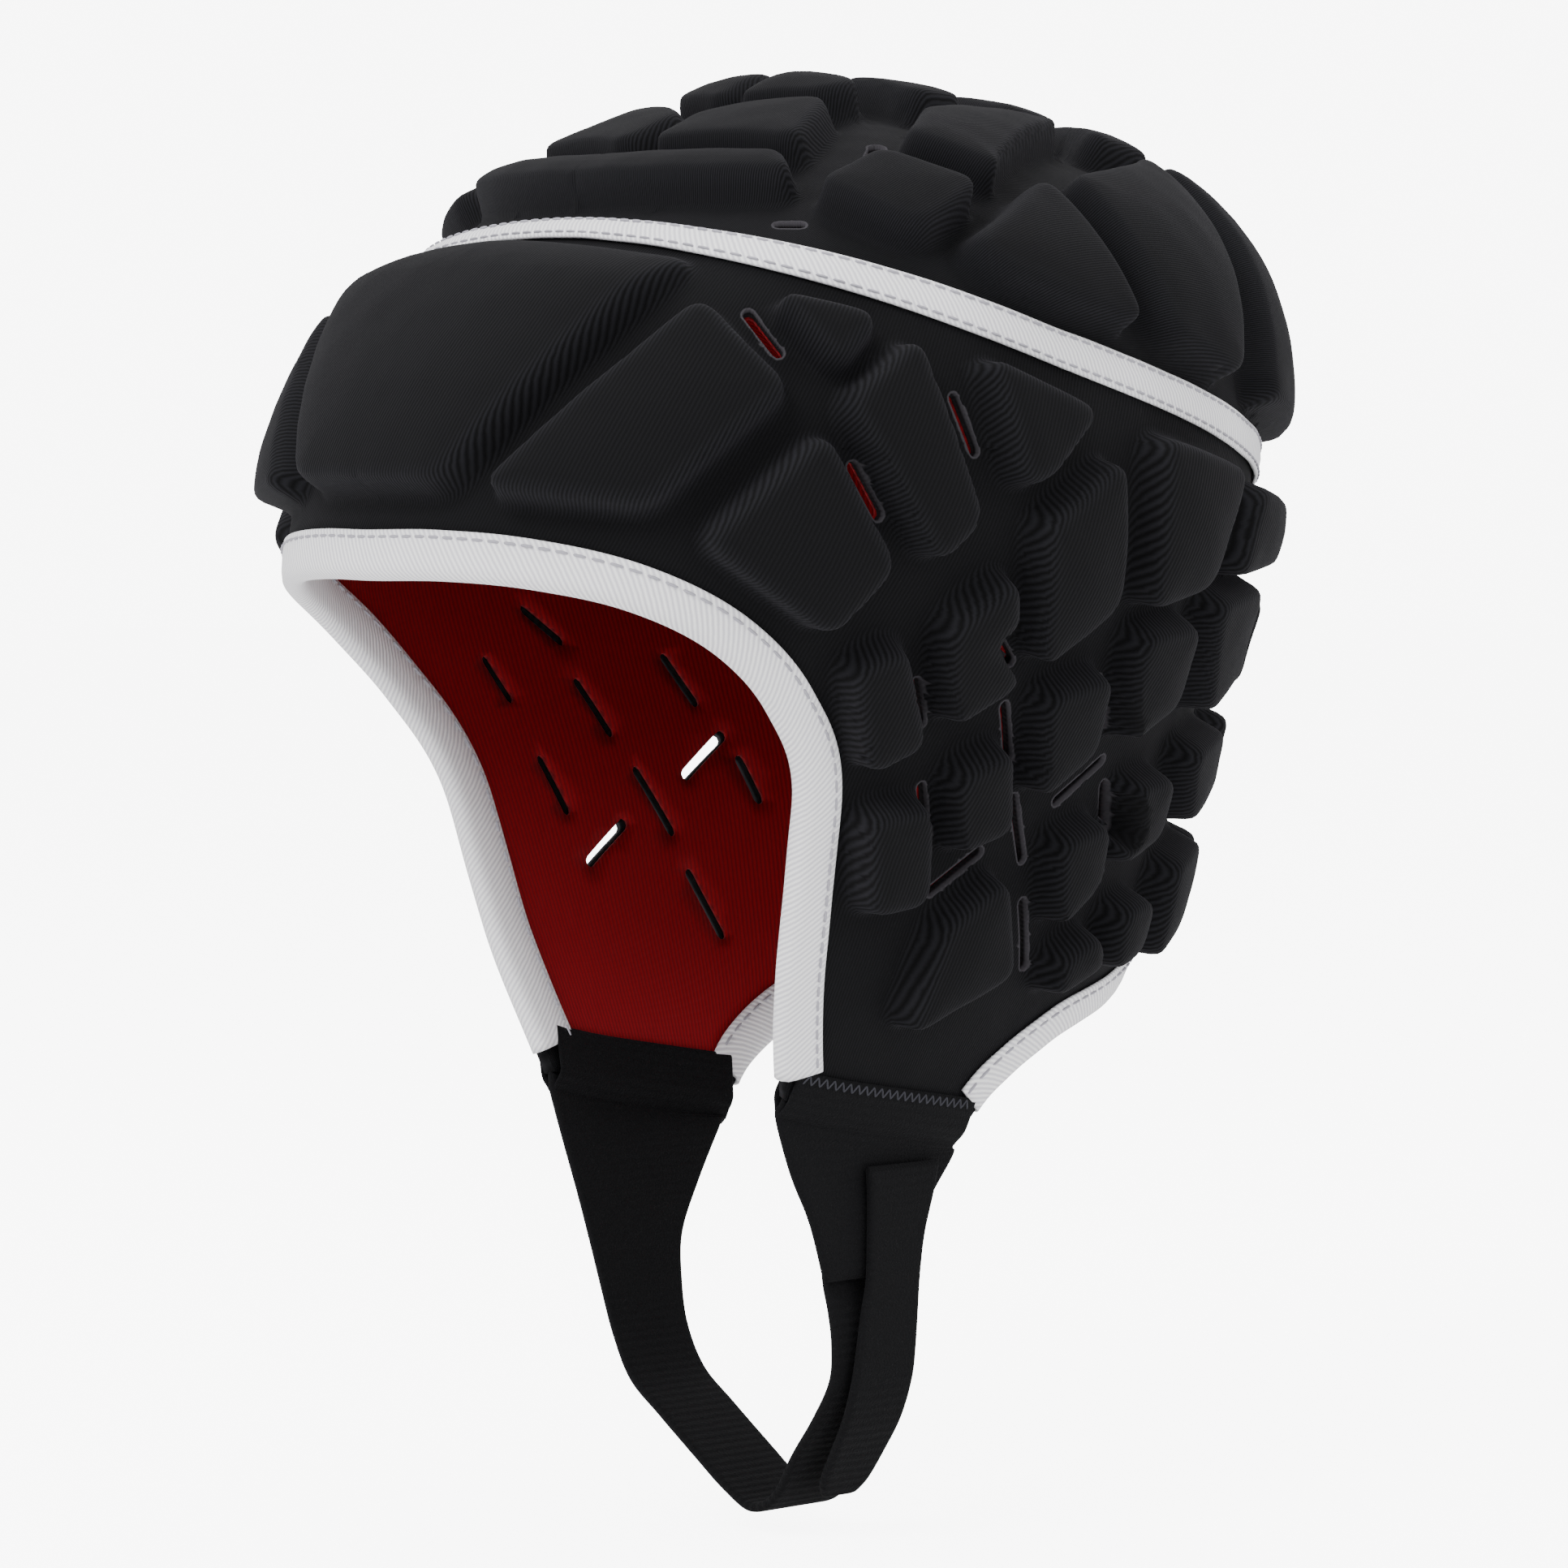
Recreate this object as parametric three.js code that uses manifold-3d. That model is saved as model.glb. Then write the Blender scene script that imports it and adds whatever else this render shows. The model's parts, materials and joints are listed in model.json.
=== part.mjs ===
// Rugby scrum cap: padded crown and lower panel, red lining, white tape and bindings, chin strap.
// Millimetres. The wearer looks along -Y, +X is the wearer's left and +Z is up. The origin is the
// highest point inside the crown, where the top of the head touches the lining.
import * as THREE from 'three'
import { mergeVertices } from 'three/addons/utils/BufferGeometryUtils.js'
import Module from 'manifold-3d'

const wasm = await Module()
wasm.setup()

// Head form: the outer face of the groove floor
const HALF_WIDTH = 82.5
const FRONT_REACH = 114.5
const BACK_REACH = 109
const FORM_DEPTH = 222
const SQUARENESS = 2.25

// Shell, lining and the clearance between pieces
const SHELL_WALL = 2.7
const LINING_WALL = 1
const GAP = 0.3

// Foam pads
const PAD_HEIGHT = 8.4
const PAD_CROWN = 1.1
const PAD_SLOPE = 2.4
const PAD_ROOT = 5
const PAD_CORNER = 5
const PAD_SPAN = 38
const PAD_CUT_MOST = 0.36
const PAD_RING_SHARE = 0.5
const PAD_RING_CROWN = 0.8
const SMALL_OUTLINE = 10

// Ventilation slits
const SLIT_WIDTH = 2.2
const SLIT_CLEAR = 2.5

// Tape and bindings
const TAPE_WIDTH = 8
const TAPE_THICKNESS = 0.9
const TAPE_LIFT = 0.5
const BINDING_WIDTH = 8.5
const BINDING_THICKNESS = 0.9

// Ear tabs and chin strap
const TAB_OVERLAP = 7
const TAB_THICKNESS = 1.2
const STRAP_THICKNESS = 2
const STRAP_WIDTH = 21
const STRAP_DROP = 83
const STRAP_SPREAD = 36
const STRAP_SETBACK = 11.5
const BAND_STEPS = 3

// Rows of a panel's mesh, the steps that measure and walk the form, and how far a mitre may reach
const LOWER_ROWS = 4
const CROWN_ROWS = 4
const STEP_TURN = 0.5
const STEP_DOWN = 0.004
const STROLL_STEPS = 3
const MITRE_LIMIT = 0.3
const MERGE_REACH = 1e-4
const BELOW_LAST = 1e-9

// Shares down: where the form counts as level, where its slopes are first measured, and where a
// pad is drawn flat round the crown's middle
const LEVEL_ZONE = 0.001
const SLOPE_START = 0.006
const POLAR_ZONE = 0.15
const POLAR_REACH = 0.25

// Colours and roughness
const BLACK_KNIT = { color: 0x111114, roughness: 0.9 }
const RED_KNIT = { color: 0x7c0b14, roughness: 0.85 }
const WHITE_TWILL = { color: 0xe9e8ea, roughness: 0.8 }
const BLACK_LOOP = { color: 0x0c0c0d, roughness: 0.95 }

// The form's levels, evenly spaced along the surface from the crown to the ear tabs' ends.
// below is a share of FORM_DEPTH, side of HALF_WIDTH, front of FRONT_REACH, back of BACK_REACH.
const FORM = [
  { below: 0, side: 0, front: 0, back: 0 },
  { below: 0.0225, side: 0.364, front: 0.122, back: 0.431 },
  { below: 0.072, side: 0.679, front: 0.367, back: 0.78 },
  { below: 0.153, side: 0.903, front: 0.672, back: 0.945 },
  { below: 0.27, side: 1, front: 0.869, back: 1 },
  { below: 0.401, side: 0.982, front: 0.978, back: 0.972 },
  { below: 0.527, side: 0.855, front: 1, back: 0.927 },
  { below: 0.649, side: 0.727, front: 0.926, back: 0.899 },
  { below: 0.775, side: 0.63, front: 0.795, back: 0.844 },
  { below: 0.892, side: 0.521, front: 0.69, back: 0.725 },
  { below: 1, side: 0.436, front: 0.576, back: 0.578 },
]

// Where the crown seam runs: down is a share of the way from crown to tab end.
const SEAM_FRONT = 0.266
const SEAM_FALL = 0.205

// Edge of the lower panel on the wearer's left, from the middle of the forehead to the middle of the
// nape. seam and turn are degrees from the front, at the seam and at the edge; down is the share.
const FACE_EDGE = [
  { seam: 0, turn: 0, down: 0.524 },
  { seam: 12, turn: 14, down: 0.524 },
  { seam: 23, turn: 28, down: 0.53 },
  { seam: 34, turn: 41, down: 0.546 },
  { seam: 45, turn: 52, down: 0.577 },
  { seam: 57, turn: 60, down: 0.625 },
  { seam: 68, turn: 64.5, down: 0.692 },
  { seam: 84, turn: 62.5, down: 0.82 },
  { seam: 93, turn: 63.5, down: 0.925 },
]
const TAB_EDGE = [
  { seam: 93, turn: 63.5, down: 0.925 },
  { seam: 98, turn: 73, down: 0.937 },
  { seam: 102, turn: 84, down: 0.948 },
  { seam: 106, turn: 94, down: 0.957 },
  { seam: 110, turn: 103.5, down: 0.965 },
]
const NAPE_EDGE = [
  { seam: 110, turn: 103.5, down: 0.965 },
  { seam: 117, turn: 108.5, down: 0.93 },
  { seam: 126, turn: 119, down: 0.894 },
  { seam: 135, turn: 131.5, down: 0.876 },
  { seam: 146, turn: 145, down: 0.861 },
  { seam: 157, turn: 157, down: 0.852 },
  { seam: 168, turn: 168, down: 0.847 },
  { seam: 180, turn: 180, down: 0.846 },
]

// Pads, each by the four corners of its top as [degrees from the front, share down]. Those of a
// side are on the wearer's left and have a mirrored twin on the right.
const LOWER_SIDE_PADS = [
  {
    name: 'brow', frontTop: [40, 0.348], rearTop: [52, 0.404],
    rearLow: [40, 0.478], frontLow: [21, 0.47],
  },
  {
    name: 'temple', frontTop: [57, 0.434], rearTop: [67, 0.514],
    rearLow: [62, 0.558], frontLow: [47, 0.5],
  },
  {
    name: 'seam_front', frontTop: [49, 0.341], rearTop: [61, 0.356],
    rearLow: [57.5, 0.386], frontLow: [54, 0.37],
  },
  {
    name: 'side_front', frontTop: [59, 0.412], rearTop: [66, 0.37],
    rearLow: [76, 0.484], frontLow: [72, 0.51],
  },
  {
    name: 'seam_side', frontTop: [76, 0.382], rearTop: [91, 0.415],
    rearLow: [84, 0.458], frontLow: [81, 0.458],
  },
  {
    name: 'side_rear', frontTop: [85, 0.487], rearTop: [95, 0.447],
    rearLow: [98, 0.54], frontLow: [89, 0.583],
  },
  {
    name: 'seam_rear', frontTop: [102, 0.433], rearTop: [118, 0.453],
    rearLow: [114, 0.528], frontLow: [104, 0.543],
  },
  {
    name: 'seam_back', frontTop: [124, 0.465], rearTop: [141, 0.478],
    rearLow: [140, 0.512], frontLow: [121, 0.522],
  },
  {
    name: 'seam_nape', frontTop: [148, 0.486], rearTop: [172, 0.49],
    rearLow: [172, 0.512], frontLow: [148, 0.514],
  },
  {
    name: 'ear_1a', frontTop: [66, 0.585], rearTop: [71, 0.57],
    rearLow: [76, 0.64], frontLow: [70, 0.66],
  },
  {
    name: 'ear_2a', frontTop: [71, 0.698], rearTop: [79, 0.69],
    rearLow: [80, 0.762], frontLow: [72, 0.768],
  },
  {
    name: 'ear_1b', frontTop: [76, 0.556], rearTop: [82, 0.522],
    rearLow: [86, 0.598], frontLow: [79, 0.626],
  },
  {
    name: 'ear_2b', frontTop: [82, 0.668], rearTop: [88, 0.648],
    rearLow: [91, 0.71], frontLow: [84, 0.726],
  },
  {
    name: 'ear_3b', frontTop: [84, 0.782], rearTop: [92, 0.748],
    rearLow: [97, 0.82], frontLow: [81, 0.862],
  },
  {
    name: 'rear_1c', frontTop: [92, 0.609], rearTop: [101, 0.594],
    rearLow: [102, 0.65], frontLow: [95, 0.686],
  },
  {
    name: 'rear_2c', frontTop: [101, 0.725], rearTop: [109, 0.711],
    rearLow: [110, 0.755], frontLow: [104, 0.787],
  },
  {
    name: 'rear_3c', frontTop: [107, 0.818], rearTop: [113, 0.796],
    rearLow: [116, 0.82], frontLow: [108, 0.842],
  },
  {
    name: 'rear_1d', frontTop: [105, 0.566], rearTop: [115, 0.557],
    rearLow: [116, 0.616], frontLow: [108, 0.646],
  },
  {
    name: 'rear_2d', frontTop: [113, 0.686], rearTop: [121, 0.677],
    rearLow: [122, 0.724], frontLow: [114, 0.744],
  },
  {
    name: 'rear_3d', frontTop: [118, 0.782], rearTop: [125, 0.773],
    rearLow: [126, 0.812], frontLow: [120, 0.826],
  },
  {
    name: 'rear_1e', frontTop: [119, 0.545], rearTop: [132, 0.532],
    rearLow: [136, 0.598], frontLow: [126, 0.628],
  },
  {
    name: 'rear_2e', frontTop: [126, 0.662], rearTop: [138, 0.645],
    rearLow: [142, 0.69], frontLow: [131, 0.718],
  },
  {
    name: 'rear_3e', frontTop: [131, 0.754], rearTop: [143, 0.734],
    rearLow: [146, 0.795], frontLow: [134, 0.822],
  },
  {
    name: 'back_1', frontTop: [144, 0.545], rearTop: [163, 0.545],
    rearLow: [163, 0.61], frontLow: [147, 0.61],
  },
  {
    name: 'back_2', frontTop: [148, 0.64], rearTop: [164, 0.64],
    rearLow: [164, 0.702], frontLow: [152, 0.704],
  },
  {
    name: 'back_3', frontTop: [152, 0.735], rearTop: [165, 0.735],
    rearLow: [165, 0.798], frontLow: [154, 0.802],
  },
]
const LOWER_MIDDLE_PADS = [
  {
    name: 'forehead', frontTop: [-35, 0.308], rearTop: [35, 0.308],
    rearLow: [14, 0.466], frontLow: [-14, 0.466],
  },
  {
    name: 'middle_1', frontTop: [171, 0.545], rearTop: [189, 0.545],
    rearLow: [189, 0.61], frontLow: [171, 0.61],
  },
  {
    name: 'middle_2', frontTop: [172, 0.64], rearTop: [188, 0.64],
    rearLow: [188, 0.702], frontLow: [172, 0.702],
  },
  {
    name: 'middle_3', frontTop: [173, 0.735], rearTop: [187, 0.735],
    rearLow: [187, 0.798], frontLow: [173, 0.798],
  },
]
const CROWN_SIDE_PADS = [
  {
    name: 'front_low', frontTop: [2, 0.213], rearTop: [40, 0.213],
    rearLow: [44, 0.238], frontLow: [2, 0.236],
  },
  {
    name: 'front_high', frontTop: [4, 0.142], rearTop: [48, 0.114],
    rearLow: [41, 0.194], frontLow: [5, 0.19],
  },
  {
    name: 'side_low', frontTop: [60, 0.21], rearTop: [79, 0.246],
    rearLow: [66, 0.288], frontLow: [50, 0.248],
  },
  {
    name: 'side_high', frontTop: [98, 0.128], rearTop: [129, 0.147],
    rearLow: [87, 0.226], frontLow: [68, 0.188],
  },
  {
    name: 'top_front', frontTop: [120, 0.012], rearTop: [92, 0.07],
    rearLow: [50, 0.09], frontLow: [5, 0.097],
  },
  {
    name: 'top_middle', frontTop: [170, 0.058], rearTop: [124, 0.096],
    rearLow: [106, 0.088], frontLow: [155, 0.028],
  },
  {
    name: 'top_rear', frontTop: [175, 0.114], rearTop: [144, 0.14],
    rearLow: [130, 0.118], frontLow: [172, 0.08],
  },
  {
    name: 'back_high', frontTop: [133, 0.166], rearTop: [172, 0.146],
    rearLow: [172, 0.19], frontLow: [141, 0.198],
  },
  {
    name: 'seam_side', frontTop: [75, 0.298], rearTop: [95, 0.238],
    rearLow: [100, 0.354], frontLow: [79, 0.318],
  },
  {
    name: 'seam_rear', frontTop: [101, 0.234], rearTop: [131, 0.2],
    rearLow: [117, 0.388], frontLow: [105, 0.358],
  },
  {
    name: 'back_low', frontTop: [140, 0.21], rearTop: [159, 0.214],
    rearLow: [152, 0.43], frontLow: [126, 0.4],
  },
]
const CROWN_MIDDLE_PADS = [
  {
    name: 'back_middle', frontTop: [167, 0.215], rearTop: [193, 0.215],
    rearLow: [198, 0.44], frontLow: [162, 0.44],
  },
]

// Ventilation slits on the wearer's left, mirrored to the right, from one end to the other.
const LOWER_SLITS = [
  { name: 'brow', from: [45.5, 0.345], to: [50.5, 0.373] },
  { name: 'temple', from: [62, 0.452], to: [66, 0.484] },
  { name: 'side', from: [73.5, 0.405], to: [76.8, 0.441] },
  { name: 'ear_1', from: [84, 0.566], to: [88, 0.59] },
  { name: 'ear_2', from: [76, 0.604], to: [78, 0.634] },
  { name: 'ear_3', from: [89, 0.624], to: [92, 0.664] },
  { name: 'ear_4', from: [80, 0.684], to: [82, 0.722] },
  { name: 'ear_5', from: [95, 0.696], to: [99, 0.742] },
  { name: 'ear_6', from: [91, 0.735], to: [84, 0.762] },
  { name: 'rear_1', from: [101, 0.776], to: [105, 0.826] },
  { name: 'rear_2', from: [104, 0.606], to: [107, 0.642] },
  { name: 'rear_3', from: [110, 0.67], to: [103, 0.7] },
  { name: 'rear_4', from: [112, 0.69], to: [114, 0.72] },
]
const CROWN_SLITS = [
  { name: 'front', from: [51, 0.222], to: [65, 0.148] },
  { name: 'seam', from: [44.5, 0.264], to: [48, 0.264] },
  { name: 'back', from: [135.5, 0.205], to: [131, 0.25] },
]

// Strap lines below the tabs. across is a share of STRAP_SPREAD from the middle plane, below of
// STRAP_DROP, front and rear of STRAP_WIDTH from the plane that the strap hangs in.
const RIGHT_STRAP = [
  { across: -0.93, below: 0.11, front: -1.02, rear: 1.1 },
  { across: -0.9, below: 0.24, front: -0.88, rear: 0.76 },
  { across: -0.88, below: 0.37, front: -0.74, rear: 0.5 },
  { across: -0.86, below: 0.49, front: -0.62, rear: 0.46 },
  { across: -0.82, below: 0.61, front: -0.52, rear: 0.48 },
  { across: -0.68, below: 0.72, front: -0.5, rear: 0.5 },
  { across: -0.42, below: 0.8, front: -0.5, rear: 0.5 },
  { across: -0.11, below: 0.89, front: -0.5, rear: 0.5 },
  { across: 0.14, below: 0.96, front: -0.5, rear: 0.5 },
  { across: 0.36, below: 1, front: -0.5, rear: 0.5 },
  { across: 0.56, below: 0.96, front: -0.5, rear: 0.5 },
  { across: 0.73, below: 0.85, front: -0.5, rear: 0.5 },
  { across: 0.9, below: 0.75, front: -0.49, rear: 0.48 },
  { across: 1.02, below: 0.65, front: -0.46, rear: 0.46 },
  { across: 1.02, below: 0.56, front: -0.43, rear: 0.43 },
  { across: 0.98, below: 0.48, front: -0.41, rear: 0.4 },
  { across: 0.925, below: 0.4, front: -0.4, rear: 0.38 },
  { across: 0.915, below: 0.3, front: -0.4, rear: 0.38 },
  { across: 0.91, below: 0.2, front: -0.4, rear: 0.38 },
]
const LEFT_TAB = [
  { across: 0.975, below: 0.12, front: -0.92, rear: 1.28 },
  { across: 0.99, below: 0.25, front: -0.68, rear: 0.86 },
  { across: 1, below: 0.4, front: -0.5, rear: 0.64 },
]
const LEFT_STRAP = [
  { across: 1.045, below: 0.12, front: 0, rear: 0.98 },
  { across: 1.055, below: 0.2, front: 0, rear: 0.88 },
  { across: 1.065, below: 0.3, front: -0.02, rear: 0.74 },
  { across: 1.075, below: 0.4, front: -0.05, rear: 0.66 },
  { across: 1.095, below: 0.48, front: -0.15, rear: 0.6 },
  { across: 1.115, below: 0.56, front: -0.24, rear: 0.54 },
  { across: 1.115, below: 0.65, front: -0.31, rear: 0.49 },
  { across: 1.05, below: 0.75, front: -0.33, rear: 0.45 },
  { across: 0.94, below: 0.84, front: -0.32, rear: 0.4 },
  { across: 0.83, below: 0.92, front: -0.28, rear: 0.34 },
  { across: 0.77, below: 0.96, front: -0.16, rear: 0.22 },
]

const STACK = SHELL_WALL + GAP + LINING_WALL
const PAD_KEY = SHELL_WALL / 3
const UP = new THREE.Vector3(0, 0, 1)

// Head form functions

function formLevel(down) {
  const last = FORM.length - 1
  const place = Math.min(Math.max(down, 0) * last, last - BELOW_LAST)
  const row = Math.floor(place)
  const f = place - row
  const keys = ['below', 'side', 'front', 'back']
  const value = (index, key) => {
    if (index < 0) return key === 'below' ? FORM[1].below : -FORM[1][key]
    if (index > last) return 2 * FORM[last][key] - FORM[last - 1][key]
    return FORM[index][key]
  }
  return keys.map((key) => {
    const [p0, p1, p2, p3] = [-1, 0, 1, 2].map((k) => value(row + k, key))
    const linear = (p2 - p0) * f
    const square = (2 * p0 - 5 * p1 + 4 * p2 - p3) * f * f
    const cube = (3 * p1 - p0 - 3 * p2 + p3) * f * f * f
    return 0.5 * (2 * p1 + linear + square + cube)
  })
}

function formFloor(turn, down) {
  const [below, side, front, back] = formLevel(down)
  const angle = THREE.MathUtils.degToRad(turn)
  const c = Math.cos(angle)
  const s = Math.sin(angle)
  const k = (Math.abs(c) ** SQUARENESS + Math.abs(s) ** SQUARENESS) ** (-1 / SQUARENESS)
  const reach = c > 0 ? front * FRONT_REACH : back * BACK_REACH
  return new THREE.Vector3(side * HALF_WIDTH * s * k, -reach * c * k, STACK - below * FORM_DEPTH)
}

function formSlopes(turn, down) {
  const at = Math.max(down, SLOPE_START)
  const alongTurn = formFloor(turn + STEP_TURN, at).sub(formFloor(turn - STEP_TURN, at))
  const alongDown = formFloor(turn, at + STEP_DOWN).sub(formFloor(turn, at - STEP_DOWN))
  return {
    turn: alongTurn.divideScalar(2 * STEP_TURN),
    down: alongDown.divideScalar(2 * STEP_DOWN),
  }
}

function formNormal(turn, down) {
  if (down < LEVEL_ZONE) return UP.clone()
  const slopes = formSlopes(turn, down)
  return slopes.down.cross(slopes.turn).normalize()
}

function onForm(turn, down, lift) {
  return formFloor(turn, down).addScaledVector(formNormal(turn, down), lift)
}

// The place reached by going a distance over the form along a tangent direction
function strollOnForm(place, direction, distance) {
  const spot = { turn: place.turn, down: place.down }
  const step = distance / STROLL_STEPS
  for (let i = 0; i < STROLL_STEPS; i += 1) {
    const { turn, down } = formSlopes(spot.turn, spot.down)
    const tt = turn.dot(turn)
    const td = turn.dot(down)
    const dd = down.dot(down)
    const wt = direction.dot(turn) * step
    const wd = direction.dot(down) * step
    const det = tt * dd - td * td
    spot.turn += (wt * dd - wd * td) / det
    spot.down += (wd * tt - wt * td) / det
  }
  return spot
}

function seamDown(turn) {
  return SEAM_FRONT + (SEAM_FALL * (1 - Math.cos(THREE.MathUtils.degToRad(turn)))) / 2
}

// Mesh helpers

function closedGeometry(points, faces) {
  const geometry = new THREE.BufferGeometry()
  const numbers = points.flatMap((p) => [p.x, p.y, p.z])
  geometry.setAttribute('position', new THREE.Float32BufferAttribute(numbers, 3))
  geometry.setIndex(faces.flat())
  return geometry
}

function signedVolume(geometry) {
  const { index, attributes } = geometry
  const corner = (i) => new THREE.Vector3().fromBufferAttribute(attributes.position, index.getX(i))
  let volume = 0
  for (let i = 0; i < index.count; i += 3) {
    volume += corner(i).dot(corner(i + 1).cross(corner(i + 2))) / 6
  }
  return volume
}

// The closed solid of a geometry, turned the right way out
function toSolid(geometry) {
  const bare = geometry.clone()
  bare.deleteAttribute('normal')
  bare.deleteAttribute('uv')
  const merged = mergeVertices(bare, MERGE_REACH)
  const index = merged.index.array
  const inward = signedVolume(merged) < 0
  const kept = []
  for (let i = 0; i < index.length; i += 3) {
    const [a, b, c] = [index[i], index[i + 1], index[i + 2]]
    if (a !== b && b !== c && c !== a) kept.push(a, inward ? c : b, inward ? b : c)
  }
  return new wasm.Manifold(new wasm.Mesh({
    numProp: 3,
    vertProperties: new Float32Array(merged.attributes.position.array),
    triVerts: new Uint32Array(kept),
  }))
}

function toGeometry(solid) {
  const mesh = solid.getMesh()
  const geometry = new THREE.BufferGeometry()
  geometry.setAttribute('position', new THREE.Float32BufferAttribute(mesh.vertProperties, 3))
  geometry.setIndex(new THREE.Uint32BufferAttribute(mesh.triVerts, 1))
  geometry.computeVertexNormals()
  return geometry
}

// A shell between two lifts over columns of places. It closes on itself round the head.
function shellSolid(columns, outerLift, innerLift) {
  const rows = columns[0].length
  const points = []
  for (const lift of [outerLift, innerLift]) {
    for (const column of columns) {
      for (const place of column) points.push(onForm(place.turn, place.down, lift))
    }
  }
  const layer = columns.length * rows
  const at = (column, row, side) => side * layer + (column % columns.length) * rows + row
  const faces = []
  const quad = (a, b, c, d) => faces.push([a, b, c], [a, c, d])
  const apart = (a, b) => onForm(a.turn, a.down, 0).distanceTo(onForm(b.turn, b.down, 0))
  columns.forEach((column, i) => {
    const beside = columns[(i + 1) % columns.length]
    for (let j = 0; j < rows - 1; j += 1) {
      const isFalling = apart(column[j], beside[j + 1]) < apart(column[j + 1], beside[j])
      const corners = (side) => [
        at(i, j, side), at(i, j + 1, side), at(i + 1, j + 1, side), at(i + 1, j, side),
      ]
      const [a, b, c, d] = corners(0)
      const [e, f, g, h] = corners(1)
      if (isFalling) faces.push([a, b, c], [a, c, d], [e, g, f], [e, h, g])
      else faces.push([a, b, d], [b, c, d], [e, h, f], [f, h, g])
    }
    quad(at(i, rows - 1, 0), at(i, rows - 1, 1), at(i + 1, rows - 1, 1), at(i + 1, rows - 1, 0))
    quad(at(i + 1, 0, 0), at(i + 1, 0, 1), at(i, 0, 1), at(i, 0, 0))
  })
  return toSolid(closedGeometry(points, faces))
}

// A body through rings of points, from its foot to its top, with a middle point at each end
function ringSolid(rings, foot, top) {
  const count = rings[0].length
  const points = [...rings.flat(), foot, top]
  const footIndex = rings.length * count
  const faces = []
  for (let i = 0; i < count; i += 1) {
    const next = (i + 1) % count
    faces.push([footIndex, next, i])
    for (let r = 0; r < rings.length - 1; r += 1) {
      const [a, b] = [r * count + i, r * count + next]
      faces.push([a, b, b + count], [a, b + count, a + count])
    }
    const last = (rings.length - 1) * count
    faces.push([last + i, last + next, footIndex + 1])
  }
  return toSolid(closedGeometry(points, faces))
}

// A body through like sections of points, closed into a loop or capped with the section's outline
function sweptSolid(sections, outline, isLoop) {
  const count = outline.length
  const points = sections.flat()
  const faces = []
  const spans = isLoop ? sections.length : sections.length - 1
  for (let s = 0; s < spans; s += 1) {
    const next = (s + 1) % sections.length
    for (let i = 0; i < count; i += 1) {
      const j = (i + 1) % count
      const [a, b, c, d] = [s * count + i, s * count + j, next * count + j, next * count + i]
      faces.push([a, b, c], [a, c, d])
    }
  }
  if (!isLoop) {
    const last = (sections.length - 1) * count
    const isClockwise = THREE.ShapeUtils.isClockWise(outline)
    for (const face of THREE.ShapeUtils.triangulateShape(outline, [])) {
      const [a, b, c] = isClockwise ? face.reverse() : face
      faces.push([c, b, a], [last + a, last + b, last + c])
    }
  }
  return toSolid(closedGeometry(points, faces))
}

function union(solids) {
  return solids.reduce((sum, solid) => sum.add(solid))
}

// Panels

const mirrorPlace = (row) => ({ ...row, seam: -row.seam, turn: -row.turn })

const leftEdge = [...FACE_EDGE, ...TAB_EDGE.slice(1), ...NAPE_EDGE.slice(1)]
const rightEdge = leftEdge.slice(1, -1).reverse().map(mirrorPlace)
const edgeRound = [...leftEdge, ...rightEdge]

function mixPlaces(a, b, f) {
  return { turn: a.turn + (b.turn - a.turn) * f, down: a.down + (b.down - a.down) * f }
}

// The direction over the form that points from an edge into the panel
function inwardAt(path, i, isLoop) {
  const before = path[isLoop ? (i + path.length - 1) % path.length : Math.max(i - 1, 0)]
  const after = path[isLoop ? (i + 1) % path.length : Math.min(i + 1, path.length - 1)]
  const along = onForm(after.turn, after.down, 0).sub(onForm(before.turn, before.down, 0)).normalize()
  return formNormal(path[i].turn, path[i].down).cross(along).normalize()
}

// A closed edge drawn in over the form by an even distance, with mitred corners
function insetLoop(path, distance) {
  return path.map((place, i) => {
    const inward = inwardAt(path, i, true)
    const here = onForm(place.turn, place.down, 0)
    const neighbours = [path[(i + 1) % path.length], path[(i + path.length - 1) % path.length]]
    const squares = neighbours.map((beside) => {
      const along = onForm(beside.turn, beside.down, 0).sub(here).normalize()
      return Math.sqrt(Math.max(1 - along.dot(inward) ** 2, MITRE_LIMIT))
    })
    return strollOnForm(place, inward, distance / Math.min(...squares))
  })
}

// Columns from the seam down to a lower edge: the tape's edge, even rows, then the edge's own border
function lowerColumns(border, rim) {
  return edgeRound.map((row, i) => {
    const top = { turn: row.seam, down: seamDown(row.seam) }
    const downhill = formSlopes(top.turn, top.down).down.normalize()
    const first = strollOnForm(top, downhill, GAP / 2)
    const tapeEdge = strollOnForm(top, downhill, TAPE_WIDTH / 2)
    const column = [first]
    for (let k = 0; k <= LOWER_ROWS; k += 1) {
      column.push(mixPlaces(tapeEdge, border[i], k / LOWER_ROWS))
    }
    column.push(rim[i])
    return column
  })
}

function crownColumns() {
  return edgeRound.map((row) => {
    const seam = { turn: row.seam, down: seamDown(row.seam) }
    const up = formSlopes(seam.turn, seam.down).down.normalize().negate()
    const tapeEdge = strollOnForm(seam, up, TAPE_WIDTH / 2)
    const column = []
    for (let i = 0; i < CROWN_ROWS; i += 1) {
      column.push({ turn: row.seam, down: (tapeEdge.down * i) / CROWN_ROWS })
    }
    column.push(tapeEdge, strollOnForm(seam, up, GAP / 2))
    return column
  })
}

// Pads

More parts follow.
